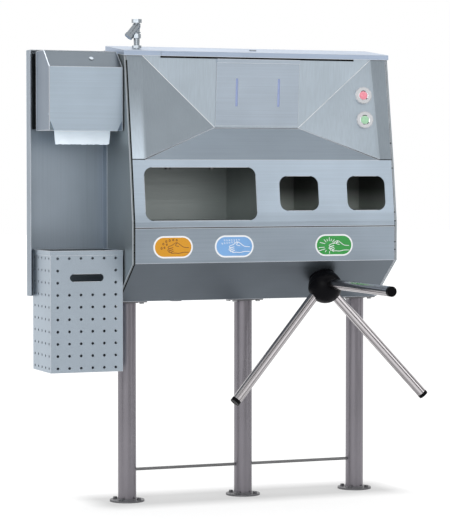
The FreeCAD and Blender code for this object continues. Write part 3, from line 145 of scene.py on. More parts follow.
def axes_of(tree, source):
    """The X, Y and Z outputs of the faces' normals or of their place in the row frame."""
    if source == "normal":
        origin = tree.nodes.new("ShaderNodeNewGeometry").outputs["True Normal"]
    else:
        origin = tree.nodes.new("ShaderNodeTexCoord").outputs["Object"]
    parts = tree.nodes.new("ShaderNodeSeparateXYZ")
    tree.links.new(origin, parts.inputs["Vector"])
    return parts.outputs


def scale_color(material, factor):
    """Multiplies a material's colour by a factor."""
    tree = material.node_tree
    target = tree.nodes["Principled BSDF"].inputs["Base Color"]
    scaled = tree.nodes.new("ShaderNodeVectorMath")
    scaled.operation = "SCALE"
    tree.links.new(target.links[0].from_socket, scaled.inputs[0])
    tree.links.new(factor, scaled.inputs["Scale"])
    tree.links.new(scaled.outputs["Vector"], target)


def paint_light_and_shade(material, source, axis, low, high, start, end):
    """Paints light and shade into a sheet's colour, scaling it from low to high along an axis of its faces'
    normals or of its place.

    Each folded facet, inner wall and strip gets its own painted brightness, standing in for how the light falls on
    it.
    """
    tree = material.node_tree
    scale_color(material, spread(tree, axes_of(tree, source)[axis], low, high, start, end))


def paint_light_and_shade_patch(material, source, mask, gain):
    """Paints light and shade into a sheet's colour, scaling it by a gain along one axis of its place, only where a
    mask holds.

    The mask runs along an axis of the faces' normals or of their place. Both are
    (axis, low, high, start, end), in the row frame.
    """
    tree = material.node_tree
    factor = tree.nodes.new("ShaderNodeMix")
    factor.inputs["A"].default_value = 1.0
    tree.links.new(spread(tree, axes_of(tree, source)[mask[0]], *mask[1:]), factor.inputs["Factor"])
    tree.links.new(spread(tree, axes_of(tree, "place")[gain[0]], *gain[1:]), factor.inputs["B"])
    scale_color(material, factor.outputs["Result"])


def tube_with_painted_reflections(name, color, roughness=0.12):
    """Polished tube with painted reflections: bright and dark streaks set by the way its surface faces, so the
    tone changes around it and not along it.
    """
    material, tree, shader = new_material(name, color, roughness, 1.0)
    around = tree.nodes.new("ShaderNodeNewGeometry")
    lines = tree.nodes.new("ShaderNodeTexNoise")
    lines.inputs["Scale"].default_value = 3.4
    lines.inputs["Detail"].default_value = 5.0
    tree.links.new(around.outputs["Normal"], lines.inputs["Vector"])
    marks = noise_field(tree, 60.0, 4.0)
    tint(tree, shader, color, spread(tree, lines.outputs["Fac"], 0.35, 1.6, 0.36, 0.64),
         spread(tree, marks, 0.97, 1.03))
    tree.links.new(spread(tree, marks, roughness, roughness + 0.05), shader.inputs["Roughness"])
    return material


ACROSS, UPRIGHT = (3, 240, 240), (240, 240, 3)
# The stainless sheets are one steel; their base colours are lit and shaded copies of it, painted sheet by sheet:
# lighter on the front, sight panel, cover and basket, darker on the hood, apron, wing and sides.
looks = {
    "front": brushed("steel_front", (0.455, 0.535, 0.62), 0.36, ACROSS),
    "apron": brushed("steel_apron", (0.35, 0.41, 0.475), 0.38, ACROSS),
    "hood": brushed("steel_hood", (0.36, 0.415, 0.465), 0.34, UPRIGHT, streak=0.06),
    "sight": brushed("steel_sight", (0.46, 0.53, 0.61), 0.34, ACROSS),
    "side": brushed("steel_side", (0.29, 0.325, 0.34), 0.42, UPRIGHT),
    # The lid's lighter, bluer colour is a painted reflection of the pale surroundings above it.
    "lid": brushed("steel_lid", (0.42, 0.50, 0.63), 0.32, ACROSS),
    # The basin, the spray chambers and the dispenser case are darker still, as painted shade inside and behind
    # them.
    "inner": brushed("steel_inner", (0.33, 0.36, 0.355), 0.42, ACROSS),
    "chamber": brushed("steel_chamber", (0.22, 0.235, 0.225), 0.45, ACROSS),
    "wing": brushed("steel_wing", (0.34, 0.395, 0.455), 0.42, UPRIGHT),
    "dispenser": brushed("steel_dispenser", (0.235, 0.285, 0.35), 0.38, UPRIGHT),
    "cover": brushed("steel_cover", (0.43, 0.51, 0.59), 0.36, ACROSS),
    "basket": brushed("steel_basket", (0.45, 0.52, 0.59), 0.42, (420, 420, 420), streak=0.07, cloud=0.03),
    # Bright steel for the painted highlights along sheared edges and folds.
    "edge": polished("steel_edge", (0.70, 0.74, 0.79), 0.30, 0.08),
    "fold": polished("steel_fold", (0.93, 0.95, 0.97), 0.34, 0.08),
    "leg": brushed("steel_leg", (0.235, 0.222, 0.245), 0.33, (700, 700, 5), metallic=0.8, streak=0.03),
    "foot": brushed("steel_foot", (0.17, 0.17, 0.18), 0.42, (200, 200, 200), metallic=0.75),
    "chrome": tube_with_painted_reflections("chrome_arm", (0.45, 0.43, 0.44)),
    # Dark chrome for the spouts and nozzles: painted shade for their place under the basin's top and in the
    # chambers.
    "fitting": polished("chrome_fitting", (0.16, 0.16, 0.16), 0.35, 0.05),
    "bezel": polished("chrome_bezel", (0.62, 0.63, 0.65), 0.10, 0.05),
    "glass": moulded("level_glass", (0.30, 0.37, 0.60), 0.25, 0.04),
    "nickel": brushed("nickel_cast", (0.29, 0.32, 0.35), 0.22, (60, 60, 60), metallic=1.0),
    "zinc": brushed("zinc_plate", (0.42, 0.43, 0.44), 0.38, (80, 80, 80)),
    "rod": brushed("rod_steel", (0.20, 0.20, 0.205), 0.34, ACROSS),
    "enamel": moulded("enamel_grey", (0.09, 0.095, 0.10), 0.4),
    "black": moulded("plastic_black", (0.003, 0.003, 0.004), 0.34, bump=0.12),
    "rubber": moulded("rubber_black", (0.012, 0.012, 0.012), 0.7),
    "gasket": moulded("gasket_grey", (0.045, 0.048, 0.05), 0.7),
    "canister": moulded("canister_blue_grey", (0.20, 0.255, 0.40), 0.4),
    "white": moulded("label_white", (0.86, 0.88, 0.90), 0.35, 0.02),
    "orange": moulded("label_orange", (0.66, 0.30, 0.012), 0.32, 0.04),
    "blue": moulded("label_blue", (0.20, 0.40, 0.72), 0.32, 0.04),
    "green": moulded("label_green", (0.035, 0.31, 0.06), 0.32, 0.04),
    "brown": moulded("label_brown", (0.19, 0.065, 0.012), 0.4, 0.04),
    "flag": new_material("studio_flag", (0.02, 0.02, 0.022), 0.9)[0],
}


def lens_material(name, color):
    """A glossy coloured lens with small moulded cells and a faint glow."""
    material, tree, shader = new_material(name, color, 0.18)
    cells = noise_field(tree, 260.0, 1.0)
    tint(tree, shader, color, spread(tree, cells, 0.92, 1.06))
    shader.inputs["Coat Weight"].default_value = 0.6
    shader.inputs["Emission Color"].default_value = (*color, 1)
    shader.inputs["Emission Strength"].default_value = 0.25
    return material


def paper_material():
    """Soft embossed paper: rows of small dimples, a slightly uneven white and a faint bluish glow of painted
    light.
    """
    color = (0.86, 0.92, 0.98)
    material, tree, shader = new_material("paper", color, 0.9)
    fibres = noise_field(tree, 700.0, 4.0)
    coords = tree.nodes.new("ShaderNodeTexCoord")
    dimples = tree.nodes.new("ShaderNodeTexVoronoi")
    dimples.inputs["Scale"].default_value = 330.0
    tree.links.new(coords.outputs["Object"], dimples.inputs["Vector"])
    tint(tree, shader, color, spread(tree, fibres, 0.96, 1.03),
         spread(tree, dimples.outputs["Distance"], 0.93, 1.02, 0.0, 0.5))
    relief(tree, shader, dimples.outputs["Distance"], 0.5, 0.0008)
    shader.inputs["Sheen Weight"].default_value = 0.2
    # Painted light: a faint bluish glow that brightens the paper as if light shone through it.
    shader.inputs["Emission Color"].default_value = (0.70, 0.88, 1.0, 1)
    shader.inputs["Emission Strength"].default_value = 0.22
    return material


# Painted light and shade follow. A single-axis line gives a source, an axis, the factors at the start and the end,
# and the start and the end.
# Painted light and shade on the facets of the front, the apron's slope, the hood and the dispenser cover's top.
paint_light_and_shade(looks["front"], "normal", "Z", 1.0, 0.60, 0.25, 0.45)
paint_light_and_shade(looks["apron"], "normal", "Z", 0.42, 1.0, -0.7, -0.3)
paint_light_and_shade(looks["hood"], "normal", "Z", 1.35, 0.84, -0.03, 0.10)
paint_light_and_shade(looks["hood"], "normal", "X", 1.45, 1.0, -0.15, -0.03)
paint_light_and_shade(looks["hood"], "normal", "X", 1.0, 0.82, 0.03, 0.15)
paint_light_and_shade(looks["cover"], "normal", "Z", 1.0, 0.22, 0.3, 0.6)
# Painted light on the lower part of the hood's left strip, and painted shade on its right strip.
paint_light_and_shade_patch(looks["hood"], "place", ("X", 1.0, 0.0, -0.425, -0.410), ("Z", 2.1, 1.0, 1.14, 1.36))
paint_light_and_shade(looks["hood"], "place", "X", 1.0, 0.86, 0.40, 0.42)
# Painted shade along the lower edge of the opening panel.
paint_light_and_shade(looks["front"], "place", "Z", 0.88, 1.0, 0.948, 0.962)
# Painted light and shade inside the basin and the spray chambers: lighter towards the bottom, darker towards the
# top and on the walls that face -X.
paint_light_and_shade(looks["inner"], "place", "Z", 1.06, 0.70, 0.99, 1.09)
paint_light_and_shade(looks["inner"], "normal", "X", 0.84, 1.0, -0.6, -0.2)
paint_light_and_shade(looks["chamber"], "place", "Z", 2.5, 0.6, 0.975, 1.035)
paint_light_and_shade(looks["chamber"], "normal", "X", 0.7, 1.0, -0.6, -0.2)
# Painted shade on the dispenser case's front-facing faces, deep behind its cover.
paint_light_and_shade(looks["dispenser"], "normal", "Y", 0.12, 1.0, -0.95, -0.8)
# Painted shade on the basket's rear and right inner walls, seen through its holes.
paint_light_and_shade_patch(looks["basket"], "normal", ("Y", 1.0, 0.0, -0.9, -0.5), ("Y", 1.0, 0.4, 0.0, 0.03))
paint_light_and_shade_patch(looks["basket"], "normal", ("X", 1.0, 0.0, -0.9, -0.5), ("X", 1.0, 0.4, -0.55, -0.50))
# Black plastic and rubber with a weak gloss, as matt mouldings have.
for look, shine in (("black", 0.06), ("rubber", 0.06), ("gasket", 0.12)):
    looks[look].node_tree.nodes["Principled BSDF"].inputs["Specular IOR Level"].default_value = shine

looks["red_lens"] = lens_material("lens_red", (0.70, 0.22, 0.28))
looks["green_lens"] = lens_material("lens_green", (0.29, 0.52, 0.33))
looks["paper"] = paper_material()

finish = {
    "front": ("opening_panel",),
    "apron": ("front_apron",),
    "hood": ("hood_recess",),
    "sight": ("sight_panel",),
    "side": ("side_panel_left", "side_panel_right", "bottom_panel", "back_panel"),
    "lid": ("service_lid", "inlet_cover", "rear_rail"),
    "inner": ("wash_basin",),
    "chamber": ("spray_chambers",),
    "wing": ("wing_panel",),
    "dispenser": ("dispenser_case",),
    "cover": ("dispenser_cover",),
    "basket": ("waste_basket",),
    "leg": ("leg_left", "leg_middle", "leg_right"),
    "foot": ("feet", "leg_plates"),
    "chrome": ("arm_front", "arm_left", "arm_right"),
    "fitting": ("basin_spouts", "spray_nozzles"),
    "bezel": ("lamp_bezels",),
    "nickel": ("strainer_body", "strainer_cap", "inlet_pipe", "lid_lock", "dispenser_lock"),
    "zinc": ("leg_bolts", "hinge_leaves", "hinge_pins", "lock_keeper",
             "canister_shelf", "basket_hanger", "tripod_shaft", "turnstile_bearings", "index_cam"),
    "rod": ("tie_rods",),
    "enamel": ("turnstile_housing", "dosing_pump", "control_box"),
    "gasket": ("panel_carriers",),
    # The dispenser's back is black plastic, which also stands in as painted shade for the deep gap between the
    # dispenser cover and the wing panel.
    "black": ("tripod_hub", "arm_caps", "dispenser_back", "basin_drain", "water_valve"),
    # The lid seal is black rubber; its dark line under the lid's lip also stands in for the lip's shadow.
    "rubber": ("lid_seal",),
    "canister": ("canisters",),
    "white": ("label_soap", "label_water", "label_disinfect"),
    "red_lens": ("lamp_red",),
    "green_lens": ("lamp_green",),
    "paper": ("towel_stack",),
}
for look, names in finish.items():
    for name in names:
        for material_slot in nodes[name].material_slots:
            material_slot.material = looks[look]


# ---- mesh helpers --------------------------------------------------------------------------------

def add_piece(name, mesh, look, body, smooth=False):
    """Makes a mesh a piece of the part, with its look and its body."""
    piece = bpy.data.objects.new(name, mesh)
    scene.collection.objects.link(piece)
    mesh.materials.append(looks[look])
    for face in mesh.polygons:
        face.use_smooth = smooth
    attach(piece, body)
    return piece


def lathe_into(built, profile, matrix, steps=32):
    """Adds a turned shape to a bmesh; the profile is a line of (radius, height) points, in metres."""
    rings = []
    for radius, height in profile:
        if radius < 1e-7:
            rings.append([built.verts.new(matrix @ Vector((0, 0, height)))])
            continue
        angles = [2 * math.pi * step / steps for step in range(steps)]
        rings.append([built.verts.new(matrix @ Vector((radius * math.cos(a), radius * math.sin(a), height)))
                      for a in angles])
    for lower, upper in zip(rings, rings[1:]):
        for step in range(steps):
            after = (step + 1) % steps
            corners = []
            for ring_of, index in ((lower, step), (lower, after), (upper, after), (upper, step)):
                vertex = ring_of[index % len(ring_of)]
                if vertex not in corners:
                    corners.append(vertex)
            if len(corners) > 2:
                built.faces.new(corners)


def mesh_from(name, built):
    bmesh.ops.recalc_face_normals(built, faces=built.faces)
    mesh = bpy.data.meshes.new(name)
    built.to_mesh(mesh)
    built.free()
    return mesh


def facing(point, direction):
    """A matrix at a point, in metres, whose Z runs along a direction."""
    return Matrix.Translation(point) @ Vector(direction).to_track_quat("Z", "Y").to_matrix().to_4x4()


def turned(name, spots, profile, look, body, steps=32):
    """One piece of turned shapes, one at each (point, direction)."""
    built = bmesh.new()
    for point, direction in spots:
        lathe_into(built, profile, facing(point, direction), steps)
    return add_piece(name, mesh_from(name, built), look, body, smooth=steps > 8)


def bar_into(built, start, end, radius, sides=6):
    """Adds a straight bar between two points to a bmesh, in metres."""
    direction = (end - start).normalized()
    length = (end - start).length
    profile = [(0, 0), (radius, 0), (radius, length), (0, length)]
    lathe_into(built, profile, facing(start, direction), sides)


def ribbon_into(built, points, width, y_front, thickness):
    """A flat line of even width on a plane that faces -Y, through (x, z) points, in metres."""
    line = [Vector(points[0])]
    for point in points[1:]:
        if (Vector(point) - line[-1]).length > 0.3 * width:
            line.append(Vector(point))
    if len(line) < 2:
        return
    rails = []
    for index, point in enumerate(line):
        before = (point - line[index - 1]).normalized() if index else None
        after = (line[index + 1] - point).normalized() if index + 1 < len(line) else before
        along = ((before or after) + after).normalized()
        side = Vector((-along.y, along.x)) * (width / 2)
        rails.append([built.verts.new((edge.x, y, edge.y))
                      for y in (y_front, y_front + thickness) for edge in (point + side, point - side)])
    for near, far in zip(rails, rails[1:]):
        for a, b in ((0, 1), (1, 3), (3, 2), (2, 0)):
            built.faces.new([near[a], near[b], far[b], far[a]])
    for end in (rails[0], rails[-1]):
        built.faces.new([end[0], end[1], end[3], end[2]])


# ---- painted highlights on folds and sheared edges -----------------------------------------------

def fold_lines(node, shortest, angle=0.3, inward=False):
    """The long sharp edges of a CAD node that stand out, or fold inward, as (start, end) pairs."""
    built = bmesh.new()
    built.from_mesh(nodes[node].data)
    bmesh.ops.remove_doubles(built, verts=built.verts, dist=1e-6)
    bmesh.ops.dissolve_limit(built, angle_limit=0.01, verts=built.verts, edges=built.edges)
    lines = []
    for edge in built.edges:
        sharp = len(edge.link_faces) == 2 and edge.calc_face_angle(0) > angle
        if sharp and edge.is_convex != inward and edge.calc_length() > shortest:
            lines.append((edge.verts[0].co.copy(), edge.verts[1].co.copy()))
    built.free()
    return lines


def edge_highlights(node, body, shortest=0.06, radius=0.0007):
    """Thin bright bars along a sheet's outer edges: painted highlights where the edges catch the light."""
    built = bmesh.new()
    for start, end in fold_lines(node, shortest):
        bar_into(built, start, end, radius)
    name = node + "_edges"
    return add_piece(name, mesh_from(name, built), "edge", body)


def fold_highlights(node, shortest=0.2, angle=0.12, radius=0.0012):
    """Painted highlights along the creases of a recess, where they catch the light."""
    built = bmesh.new()
    for start, end in fold_lines(node, shortest, angle, inward=True):
        bar_into(built, start, end, radius)
    name = node + "_folds"
    return add_piece(name, mesh_from(name, built), "fold", "cabinet")


for node, body in (("hood_recess", "cabinet"), ("opening_panel", "cabinet"), ("front_apron", "cabinet"),
                   ("sight_panel", "cabinet"), ("inlet_cover", "cabinet"), ("wing_panel", "cabinet"),
                   ("side_panel_left", "cabinet"), ("side_panel_right", "cabinet"),
                   ("dispenser_case", "cabinet"), ("service_lid", "lid"),
                   ("dispenser_cover", "dispenser_door"), ("waste_basket", "basket")):
    edge_highlights(node, body)
fold_highlights("hood_recess")


# ---- labels --------------------------------------------------------------------------------------

def stadium(half_length, radius, steps=20):
    """The outline of a stadium as (x, z) points."""
    points = []
    for centre, first in ((half_length - radius, -90), (radius - half_length, 90)):
        for step in range(steps + 1):
            angle = math.radians(first + 180 * step / steps)
            points.append((centre + radius * math.cos(angle), radius * math.sin(angle)))
    return points


def slab(name, outline, centre, y_front, thickness, look, body):
    """A flat plate that faces -Y, with an (x, z) outline around a centre, in metres."""
    built = bmesh.new()
    front, back = [[built.verts.new((centre.x + x, y, centre.z + z)) for x, z in outline]
                   for y in (y_front, y_front + thickness)]
    built.faces.new(front)
    built.faces.new(back)
    for index in range(len(outline)):
        built.faces.new([front[index - 1], front[index], back[index], back[index - 1]])
    return add_piece(name, mesh_from(name, built), look, body)


def curve_through(points, steps=6):
    """A smooth line through 2D points."""
    padded = [points[0]] + list(points) + [points[-1]]
    smooth = []
    for index in range(1, len(padded) - 2):
        p0, p1, p2, p3 = (Vector(padded[index + shift]) for shift in (-1, 0, 1, 2))
        for step in range(steps):
            t = step / steps
            smooth.append(tuple(0.5 * ((2 * p1) + (p2 - p0) * t + (2 * p0 - 5 * p1 + 4 * p2 - p3) * t * t
                                       + (3 * p1 - p0 - 3 * p2 + p3) * t * t * t)))
    return smooth + [tuple(points[-1])]


# An open palm seen from the side, as (x, z) lines in millimetres from the middle of a label.
PALM = [
    [(54, -2), (36, 0), (25, 7), (14, 14), (5, 12), (-4, 6), (-15, 2), (-18, -2), (-13, -4), (0, -1)],
    [(0, -1), (-14, -6), (-19, -9), (-16, -12), (0, -7)],
    [(0, -7), (-12, -12), (-15, -15), (-11, -17), (2, -12)],
    [(2, -12), (-5, -16), (-5, -20), (6, -19), (20, -20), (36, -17), (54, -17)],
    [(14, 14), (8, 7), (10, 4), (20, 2)],
]


def drop(x, z, size):
    """A falling drop: a point above a round belly."""
    points = [(x, z + 1.7 * size)]
    for step in range(9):
        angle = math.radians(50 - 280 * step / 8)
        points.append((x + size * math.cos(angle), z + size * math.sin(angle)))
    return points + [points[0]]


def pictogram(kind):
    """The lines of a label's picture, as PALM's are: the palm with drops, jets of water or rays."""
    lines = [curve_through(line) for line in PALM]
    if kind == "soap":
        for x, z, size in ((-34, 10, 2.6), (-24, 18, 2.6), (-12, 21, 2.6), (0, 23, 2.4), (-40, -4, 2.6),
                           (-30, -2, 2.2), (-22, 8, 2.2), (12, 22, 2.2)):
            lines.append(drop(x, z, size))
    elif kind == "water":
        for index in range(7):
            x = -44 + index * 8.5
            lines.append([(x, 12 + index), (x + 3, 7 + index)])
            lines.append([(x + 8, 23), (x + 11, 17 + 0.4 * index)])
    else:
        for index in range(15):
            angle = math.radians(28 + index * 20.5)
            inner, outer = (17, 29 if index % 2 else 25)
            reach = 1.55 if abs(math.cos(angle)) > 0.8 else 1.0
            lines.append([(-18 + inner * math.cos(angle), -3 + inner * math.sin(angle)),
                          (-18 + outer * reach * math.cos(angle), -3 + outer * math.sin(angle))])
    limit_x, limit_z = 57, 29
    return [[(x, z) for x, z in line if abs(x) < limit_x and abs(z) < limit_z] for line in lines]


for node, look, ink, kind in (("label_soap", "orange", "brown", "soap"),
                              ("label_water", "blue", "white", "water"),
                              ("label_disinfect", "green", "white", "disinfect")):
    low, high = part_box(node)
    centre = (low + high) / 2
    half, radius = (high.x - low.x) / 2, (high.z - low.z) / 2
    border = 5.2 * MM
    slab(node + "_field", stadium(half - border, radius - border), centre, low.y - 0.2 * MM,
         0.5 * MM, look, "cabinet")
    built = bmesh.new()
    for index, line in enumerate(pictogram(kind)):
        ribbon_into(built, [(centre.x + x * MM, centre.z + z * MM) for x, z in line], 1.9 * MM,
                    low.y - (0.35 + 0.012 * index) * MM, 0.3 * MM)
    add_piece(node + "_picture", mesh_from(node, built), ink, "cabinet")


# ---- fasteners -----------------------------------------------------------------------------------

SCREW = [(0, 0), (4 * MM, 0), (4 * MM, 0.9 * MM), (3.4 * MM, 1.9 * MM), (2.2 * MM, 2.4 * MM),
         (1.5 * MM, 2.4 * MM), (1.3 * MM, 1.1 * MM), (0, 1.1 * MM)]
back_low, back_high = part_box("back_panel")

BACK_INSET = 12 * MM
back_spots = []
for share in (0.02, 0.26, 0.5, 0.74, 0.98):
    x = back_low.x + (back_high.x - back_low.x) * share
    for z in (back_low.z + BACK_INSET, back_high.z - BACK_INSET):
        back_spots.append((Vector((x, back_high.y, z)), (0, 1, 0)))
for share in (0.2, 0.4, 0.6, 0.8):
    for x in (back_low.x + BACK_INSET, back_high.x - BACK_INSET):
        z = back_low.z + (back_high.z - back_low.z) * share
        back_spots.append((Vector((x, back_high.y, z)), (0, 1, 0)))
turned("back_screws", back_spots, SCREW, "zinc", "cabinet", 20)

foot_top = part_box("feet")[1].z
anchor_spots = []
ANCHOR_CIRCLE = 44 * MM
for mount in frame["record"]["mounts"]:
    if mount["name"].endswith("_foot"):
        x, y = mount["pos_m"][:2]
        for corner in range(4):
            angle = math.radians(45 + 90 * corner)
            anchor_spots.append((Vector((x + ANCHOR_CIRCLE * math.cos(angle),
                                         y + ANCHOR_CIRCLE * math.sin(angle), foot_top)), (0, 0, 1)))
WASHER = [(0, 0), (8 * MM, 0), (8 * MM, 1.2 * MM), (7.4 * MM, 1.6 * MM), (0, 1.6 * MM)]
HEXAGON = [(0, 1.6 * MM), (6.9 * MM, 1.6 * MM), (7.2 * MM, 2.2 * MM), (7.2 * MM, 6.4 * MM),
           (6.3 * MM, 7.2 * MM), (0, 7.2 * MM)]
turned("anchor_washers", anchor_spots, WASHER, "foot", "cabinet")
turned("anchor_heads", anchor_spots, HEXAGON, "foot", "cabinet", 6)

legs = [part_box(name) for name in ("leg_left", "leg_middle", "leg_right")]
welds = []
for low, high in legs:
    middle = (low + high) / 2
    welds.append((Vector((middle.x, middle.y, foot_top)), (0, 0, 1)))
    welds.append((Vector((middle.x, middle.y, high.z)), (0, 0, -1)))
leg_radius = (legs[0][1].x - legs[0][0].x) / 2
BEAD = [(leg_radius - 0.2 * MM, 3.2 * MM), (leg_radius + 1.2 * MM, 2.6 * MM),
        (leg_radius + 2.4 * MM, 1.2 * MM), (leg_radius + 2.9 * MM, 0)]
turned("leg_welds", welds, BEAD[::-1], "foot", "cabinet", 48)


# ---- edge beads, level glasses and lamp trims ----------------------------------------------------

# The cabinet's front line as (y, z), and the levels of its edge screws, both in millimetres.
FRONT_LINE = [(-56, 666), (-214, 796), (-214, 928), (-188, 1130), (-137.5, 1452)]
SCREW_LEVELS = (831, 856.5, 927, 956, 1103.5, 1187)
SCREW_ACROSS = 463.5 * MM
BEAD_DEPTH = 1.8
# Each bead's two sides as x in metres, and how far its face lies inside the front line in millimetres.
BEADS = ((-0.4655, -0.4608, -0.9), (0.4622, 0.4648, 0.5))


def inset_line(line, distance):
    """A (y, z) line in millimetres, moved into the cabinet by a distance."""
    sides = []
    for start, end in zip(line, line[1:]):
        sides.append(Vector((end[1] - start[1], start[0] - end[0])).normalized())
    moved = []
    for index, point in enumerate(line):
        beside = sides[max(index - 1, 0):index + 1]
        mean = sum(beside, Vector((0, 0))).normalized()
        moved.append(Vector(point) + mean * distance / mean.dot(beside[0]))
    return moved


def edge_beads():
    """A black bead in the gap between each side panel's rim and the front sheets, thicker on the left."""
    built = bmesh.new()
    far = inset_line(FRONT_LINE, BEAD_DEPTH)
    for inner, outer, inset in BEADS:
        near = inset_line(FRONT_LINE, inset)
        rings = []
        for front, back in zip(near, far):
            rings.append([built.verts.new((x, spot.x * MM, spot.y * MM))
                          for x, spot in ((inner, front), (outer, front), (outer, back), (inner, back))])
        for lower, upper in zip(rings, rings[1:]):
            for index in range(4):
                after = (index + 1) % 4
                built.faces.new([lower[index], lower[after], upper[after], upper[index]])
        built.faces.new(rings[0])
        built.faces.new(rings[-1])
    return add_piece("edge_beads", mesh_from("edge_beads", built), "rubber", "cabinet")


def front_spot(x, level):
    """A point on the cabinet's front line, in metres, and the direction that it faces."""
    for (y0, z0), (y1, z1) in zip(FRONT_LINE, FRONT_LINE[1:]):
        if z0 <= level <= z1:
            y = y0 + (y1 - y0) * (level - z0) / (z1 - z0)
            return Vector((x, y * MM, level * MM)), (0, z0 - z1, y1 - y0)
    raise ValueError(level)


def panel_seam():
    """The black joint between the opening panel and the label panel."""
    half, depth, level = 461 * MM, 213.5 * MM, 910 * MM
    built = bmesh.new()
    bar_into(built, Vector((-half, -depth, level)), Vector((half, -depth, level)), 1.5 * MM)
    return add_piece("panel_seam", mesh_from("panel_seam", built), "rubber", "cabinet")


edge_beads()
panel_seam()
PAN_HEAD = [(0, 0), (2.6 * MM, 0), (2.4 * MM, 0.7 * MM), (1.5 * MM, 1.2 * MM), (0, 1.3 * MM)]
edge_spots = [front_spot(x, level) for x in (-SCREW_ACROSS, SCREW_ACROSS) for level in SCREW_LEVELS]
turned("edge_screws", edge_spots, PAN_HEAD, "black", "cabinet", 12)

SIGHT_FOOT, SIGHT_LEAN = Vector((0, -0.119, 1.237)), math.atan2(16, 231)
GLASS_ACROSS, GLASS_UP = 75 * MM, 116 * MM
GLASS_SIZE = (9.6 * MM, 3 * MM, 91.6 * MM, 1)


def level_glasses():
    """A strip of glass in each slot of the leaning sight panel."""
    built = bmesh.new()
    for across in (-GLASS_ACROSS, GLASS_ACROSS):
        place = (Matrix.Translation(SIGHT_FOOT) @ Matrix.Rotation(SIGHT_LEAN, 4, "X")
                 @ Matrix.Translation((across, 0.8 * MM, GLASS_UP)) @ Matrix.Diagonal(GLASS_SIZE))
        bmesh.ops.create_cube(built, size=1.0, matrix=place)
    return add_piece("level_glasses", mesh_from("level_glasses", built), "glass", "cabinet")


level_glasses()


def bezel_fronts():
    """The middle of each lamp bezel's front face, and the direction that both face."""
    mesh = nodes["lamp_bezels"].data
    largest = max((face for face in mesh.polygons if face.normal.y < -0.5), key=lambda face: face.area)
    out = largest.normal.copy()
    low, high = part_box("lamp_bezels")
    fronts = []
    for upper in (True, False):
        spots = [vertex.co for vertex in mesh.vertices if (vertex.co.z > (low.z + high.z) / 2) == upper]
        reach = max(spot.dot(out) for spot in spots)
        face = [spot for spot in spots if spot.dot(out) > reach - 0.05 * MM]
        fronts.append((sum(face, Vector()) / len(face), out))
    return fronts


TRIM = [(28.6 * MM, -0.1 * MM), (27.4 * MM, 1.6 * MM), (17 * MM, 0.7 * MM), (14.4 * MM, -0.1 * MM)]
turned("lamp_trims", bezel_fronts(), TRIM, "bezel", "cabinet", 12)
for trim_face in bpy.data.objects["lamp_trims"].data.polygons:
    trim_face.use_smooth = False


# ---- tripod hub ----------------------------------------------------------------------------------

tripod = joints["tripod_turn"]
hub = Vector(tripod["pos_m"])
spin = Vector(tripod["axis"]).normalized()
SEAM = [(54.5 * MM, 0), (56.5 * MM, 0.4 * MM), (56.9 * MM, 2 * MM), (56.5 * MM, 3.6 * MM),
        (54.5 * MM, 4 * MM)]
turned("hub_seam", [(hub + spin * 8 * MM, spin)], SEAM, "black", "tripod", 64)


# ---- water inlet ---------------------------------------------------------------------------------

strainer_low, strainer_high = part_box("strainer_body")
inlet = Vector(next(m["pos_m"] for m in frame["record"]["mounts"] if m["name"] == "water_inlet"))
THREAD_TURNS, THREAD_PITCH = 7, 1.8 * MM
thread = []
for turn in range(THREAD_TURNS):
    thread += [(9.5 * MM, turn * THREAD_PITCH), (10.4 * MM, (turn + 0.5) * THREAD_PITCH)]
thread.append((9.5 * MM, THREAD_TURNS * THREAD_PITCH))
turned("pipe_thread", [(Vector((inlet.x, inlet.y, strainer_low.z - 12.8 * MM)), (0, 0, 1))], thread,
       "nickel", "cabinet")
HOSE_RING = [(10.8 * MM, 0), (13 * MM, 0.6 * MM), (13.4 * MM, 2 * MM), (13 * MM, 3.4 * MM),
             (10.8 * MM, 4 * MM)]
turned("strainer_ring", [(Vector((inlet.x, inlet.y, strainer_low.z + 17 * MM)), (0, 0, 1)),
                         (Vector((inlet.x, inlet.y, strainer_high.z - 19 * MM)), (0, 0, 1))],
       HOSE_RING, "nickel", "cabinet")


# ---- paper towels --------------------------------------------------------------------------------

stack_low, stack_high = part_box("towel_stack")
case_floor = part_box("dispenser_case")[0].z


def towel_pack():
    """A pack of folded towels: many thin layers with soft, slightly uneven front edges."""
    layers, columns, gap = 60, 28, 2 * MM
    built = bmesh.new()
    lowest = case_floor + gap
    height = (stack_high.z - lowest) / layers
    front, rear = stack_low.y + 8 * MM, stack_high.y - gap
    grid = []
    for layer in range(layers * 2 + 1):
        z = lowest + layer * height / 2
        bulge = 0.9 * MM if layer % 2 else 0.0
        row = []
        for column in range(columns + 1):
            x = stack_low.x + gap + (stack_high.x - stack_low.x - 2 * gap) * column / columns
            wobble = 1.1 * MM * noise.noise(Vector((x * 30, z * 90, 1.7)))
            row.append(built.verts.new((x, front - bulge + wobble, z)))
        grid.append(row)
    back = [[built.verts.new((row[0].co.x, rear, row[0].co.z)),
             built.verts.new((row[-1].co.x, rear, row[-1].co.z))] for row in grid]
    for lower, upper, behind, behind_upper in zip(grid, grid[1:], back, back[1:]):
        for column in range(columns):
            built.faces.new([lower[column], lower[column + 1], upper[column + 1], upper[column]])
        built.faces.new([behind[0], lower[0], upper[0], behind_upper[0]])
        built.faces.new([lower[-1], behind[1], behind_upper[1], upper[-1]])
        built.faces.new([behind[1], behind[0], behind_upper[0], behind_upper[1]])
    built.faces.new([back[0][0], back[0][1]] + grid[0][::-1])
    built.faces.new([back[-1][1], back[-1][0]] + grid[-1])
    return add_piece("towel_pack", mesh_from("towel_pack", built), "paper", "cabinet")


